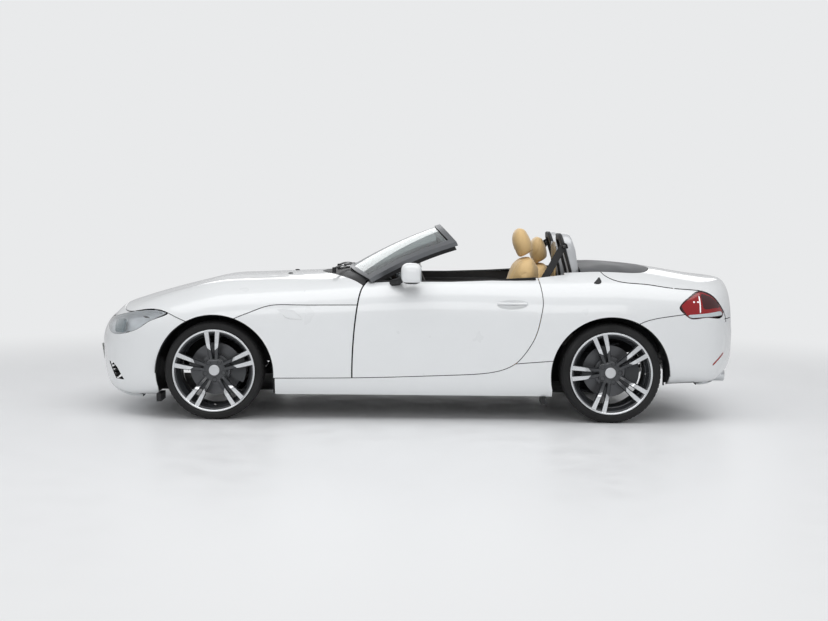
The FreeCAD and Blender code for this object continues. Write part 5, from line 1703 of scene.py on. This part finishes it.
@dataclass
class Cabin:
    """Linings and controls: door cards, carpets, hood and gauges, vents, screen, gear lever."""

    gauges: Sequence[float] = (-0.435, -0.305)
    vents: Line = ((-0.128, -0.630, 0.835), (-0.133, -0.100, 0.800), (-0.133, 0.100, 0.800),
                   (-0.128, 0.630, 0.835))
    lever_foot: Sequence[float] = (0.06, 0.0, 0.545)
    lever_axis: Sequence[float] = (0.1, 0, 1)

    def build(self) -> None:
        """Make the pieces."""
        speaker = [(0.062, 0.0), (0.060, 0.004), (0.040, 0.0055), (0.0, 0.0045)]
        for side, sign in SIDES.items():
            card = Mesh()
            card.grid(blob((0.290, sign * 0.6885, 0.600), (0.375, 0.0105, 0.235), 7, 25, 64))
            card.grid(blob((0.300, sign * 0.672, 0.665), (0.240, 0.026, 0.020), 4, 15, 40))
            card.grid(blob((0.080, sign * 0.675, 0.735), (0.055, 0.006, 0.014), 3, 11, 28), 1)
            card.grid(turned(speaker, (0.02, sign * 0.6785, 0.50), (0, -sign, 0), 40), 2, wrap_rows=True)
            card.piece("door_card_" + side, "interior", [DASH_FOIL, SATIN_METAL, BLACK_PP], "door_" + side)
        self.dash()
        self.lever()
        mats = Mesh()
        for y in SEAT_MIDDLES:
            mats.grid(blob((-0.12, y, 0.186), (0.22, 0.19, 0.008), 7, 11, 48))
            mats.grid(blob((-0.60, y, 0.300), (0.012, 0.19, 0.10), 7, 15, 40))
        mats.grid(blob((1.50, 0, 0.432), (0.40, 0.46, 0.009), 8, 11, 64))
        mats.piece("carpets", "interior", [CARPET])

    def dash(self) -> None:
        """Hood over two gauges, four round vents, the screen and a row of keys."""
        mesh = Mesh()
        mesh.grid(blob((-0.235, -0.37, 0.905), (0.105, 0.165, 0.050), 3, 21, 48))
        mesh.grid(blob((-0.165, 0.0, 0.905), (0.020, 0.115, 0.045), 5, 17, 48))
        mesh.grid(blob((-0.1445, 0.0, 0.908), (0.002, 0.100, 0.034), 6, 9, 48), 1)
        gauge = [(0.052, -0.012), (0.052, 0.004), (0.048, 0.006), (0.046, -0.004), (0.0, -0.004)]
        vent = [(0.036, -0.02), (0.036, 0.003), (0.032, 0.005), (0.029, -0.002), (0.0, -0.004)]
        for y in self.gauges:
            mesh.grid(turned(gauge, (-0.134, y, 0.898), (1, 0, 0.15), 44), 2, wrap_rows=True)
        for x, y, z in self.vents:
            mesh.grid(turned(vent, (x, y, z), (1, 0, 0.1), 36), 2, wrap_rows=True)
            for rise in (-0.016, 0.0, 0.016):
                mesh.grid(blob((x + 0.002, y, z + rise), (0.004, 0.026, 0.0022), 4, 7, 20))
        for k in range(-3, 4):
            mesh.grid(blob((-0.140, 0.030 * k, 0.735), (0.008, 0.0125, 0.009), 5, 9, 20), 3)
        mesh.piece("dash_fittings", "interior", [DASH_FOIL, GLOSS_BLACK, SATIN_METAL, BLACK_PP])

    def lever(self) -> None:
        """Gear lever with its gaiter, and the ring round it."""
        mesh = Mesh()
        folds = [(0.052, 0.0), (0.050, 0.010), (0.040, 0.016), (0.038, 0.026), (0.028, 0.034), (0.024, 0.048),
                 (0.012, 0.062), (0.0, 0.062)]
        stick = [(0.0095, 0.058), (0.0085, 0.085), (0.010, 0.096), (0.021, 0.108), (0.0235, 0.128),
                 (0.019, 0.146),
                 (0.0, 0.152)]
        ring = [(0.052, -0.004), (0.062, -0.002), (0.064, 0.004), (0.056, 0.007), (0.050, 0.003)]
        for slot, (profile, steps) in enumerate(((folds, 40), (stick, 32), (ring, 48))):
            mesh.grid(turned(profile, self.lever_foot, self.lever_axis, steps), slot, wrap_rows=True,
                      wrap_columns=profile is ring)
        mesh.piece("gear_lever", "interior", [RIM_LEATHER, GLOSS_BLACK, SATIN_METAL])


@dataclass
class SteeringWheel:
    """Leather rim with three spokes, a pad in the middle and the column behind."""

    centre: Sequence[float] = (0.060, -0.370, 0.800)
    tilt_deg: float = 65.0
    rim_radius: float = 0.180
    spokes: Sequence[float] = (0.0, math.pi, -math.pi / 2)
    column: Line = ((0.0, -0.02), (0.048, -0.02), (0.050, -0.038), (0.030, -0.045), (0.0218, -0.05),
                    (0.0218, -0.238), (0.0, -0.24))

    def place(self, local: np.ndarray) -> np.ndarray:
        """Turn the wheel's own points into the frame's.

        Args:
            local: n by 3: right, up and towards the driver.

        Returns:
            The same points as X, Y, Z.
        """
        t = math.radians(self.tilt_deg)
        axes = np.array([(0, 1, 0), (-math.cos(t), 0, math.sin(t)), (math.sin(t), 0, math.cos(t))])
        return np.asarray(self.centre) + local @ axes

    def build(self) -> None:
        """Make the wheel; its rim is thicker at two bumps above the middle on either side."""
        mesh = Mesh()
        a = np.arange(96) * 2 * np.pi / 96
        thick = 0.0142 + 0.0015 * np.exp(-((np.cos(a) ** 2 - 0.75) / 0.15) ** 2)
        ring = circle(1.0, 20)
        r = self.rim_radius + thick[:, None] * ring[:, 0] * 0.95
        rim = np.stack([r * np.cos(a)[:, None], r * np.sin(a)[:, None], thick[:, None] * ring[:, 1]], -1)
        mesh.grid(self.place(rim), wrap_rows=True, wrap_columns=True)
        t = np.linspace(0.035, 0.172, 16)[:, None]
        wide = (0.026 - 0.07 * (t - 0.035)) * np.array([[-1, -0.9, 0.9, 1, 0.9, -0.9]])
        deep = -0.022 + 0.14 * (t - 0.035) + np.array([[0, 0.006, 0.006, 0, -0.006, -0.006]])
        for angle in self.spokes:
            c, s = math.cos(angle), math.sin(angle)
            mesh.tube(self.place(np.stack([t * c - wide * s, t * s + wide * c, deep], -1)), 1)
        mesh.grid(self.place(blob((0, 0, -0.014), (0.072, 0.060, 0.020), 2.8, 21, 48)), 0)
        mesh.grid(self.place(blob((0, 0, 0.0045), (0.016, 0.016, 0.003), 2.0, 9, 32)), 1)
        line = self.place(np.array([[0, 0, 1.0]]))[0] - np.asarray(self.centre)
        mesh.grid(turned(self.column, self.centre, line, 40), 2, wrap_rows=True)
        made = mesh.piece("steering_wheel_dressed", "interior", [RIM_LEATHER, SATIN_METAL, BLACK_PP],
                          "steering_wheel", crease_deg=40)
        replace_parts(made, "steering_wheel")


@dataclass
class EngineBay:
    """What shows under the open bonnet: ribbed cover, air box and coolant tank."""

    cover: Sequence[float] = (-1.16, 0.0, 0.784)
    rib_height: float = 0.803
    rib_pitch: float = 0.038
    air_box: Sequence[float] = (-1.60, 0.0, 0.735)
    tank: Sequence[float] = (-0.90, 0.335, 0.690)

    def build(self) -> None:
        """Make the pieces."""
        mesh = Mesh()
        mesh.grid(blob(self.cover, (0.33, 0.155, 0.020), 5, 17, 64))
        for k in range(-3, 4):
            middle = (self.cover[0], self.rib_pitch * k, self.rib_height)
            mesh.grid(blob(middle, (0.29, 0.008, 0.007), 4, 9, 32))
        mesh.grid(blob(self.air_box, (0.05, 0.26, 0.022), 4, 13, 48))
        mesh.piece("engine_cover", "black_plastic", [BLACK_PP])
        lid = [(0.0, 0.07), (0.026, 0.07), (0.026, 0.092), (0.022, 0.096), (0.0, 0.096)]
        tank = Mesh().grid(blob(self.tank, (0.075, 0.055, 0.075), 4, 17, 40))
        tank.grid(turned(lid, self.tank, (0, 0, 1), 32), 1, wrap_rows=True)
        tank.piece("coolant_tank", "black_plastic", [PLATE, BLACK_PP])


def main() -> None:
    """Build the pieces in order."""
    logging.basicConfig(level=logging.INFO, format="%(message)s")
    Studio().build()
    Carried(CAD_FINISHES, CAD_LININGS).dress()
    LOG.info("carried nodes: %d", len(frame["nodes"]))
    for end in ENDS:
        for side in SIDES:
            LOG.info("tyre: %s", Tyre(end, side).build().name)
            Wheel(end, side, FIRST_SPOKES[end]).build()
            LOG.info("wheel: %s %s", end, side)
    driver, passenger = SEAT_MIDDLES
    for seat in (Seat("driver", driver, shift=0.0, drop=0.0),
                 Seat("passenger", passenger, shift=0.105, drop=0.07, recline=0.11)):
        seat.build()
        LOG.info("seat: %s", seat.name)
    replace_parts(bpy.data.objects["seat_back_driver"], "seats")
    for part in (HeadLamps(), TailLamps(), NoseTrim(), TailTrim(), SideTrim(), Screen(), Hoops(), Belts(),
                 Mirrors(), Cabin(), SteeringWheel(), EngineBay()):
        part.build()
        LOG.info("piece: %s", type(part).__name__)


if __name__ == "__main__":
    main()
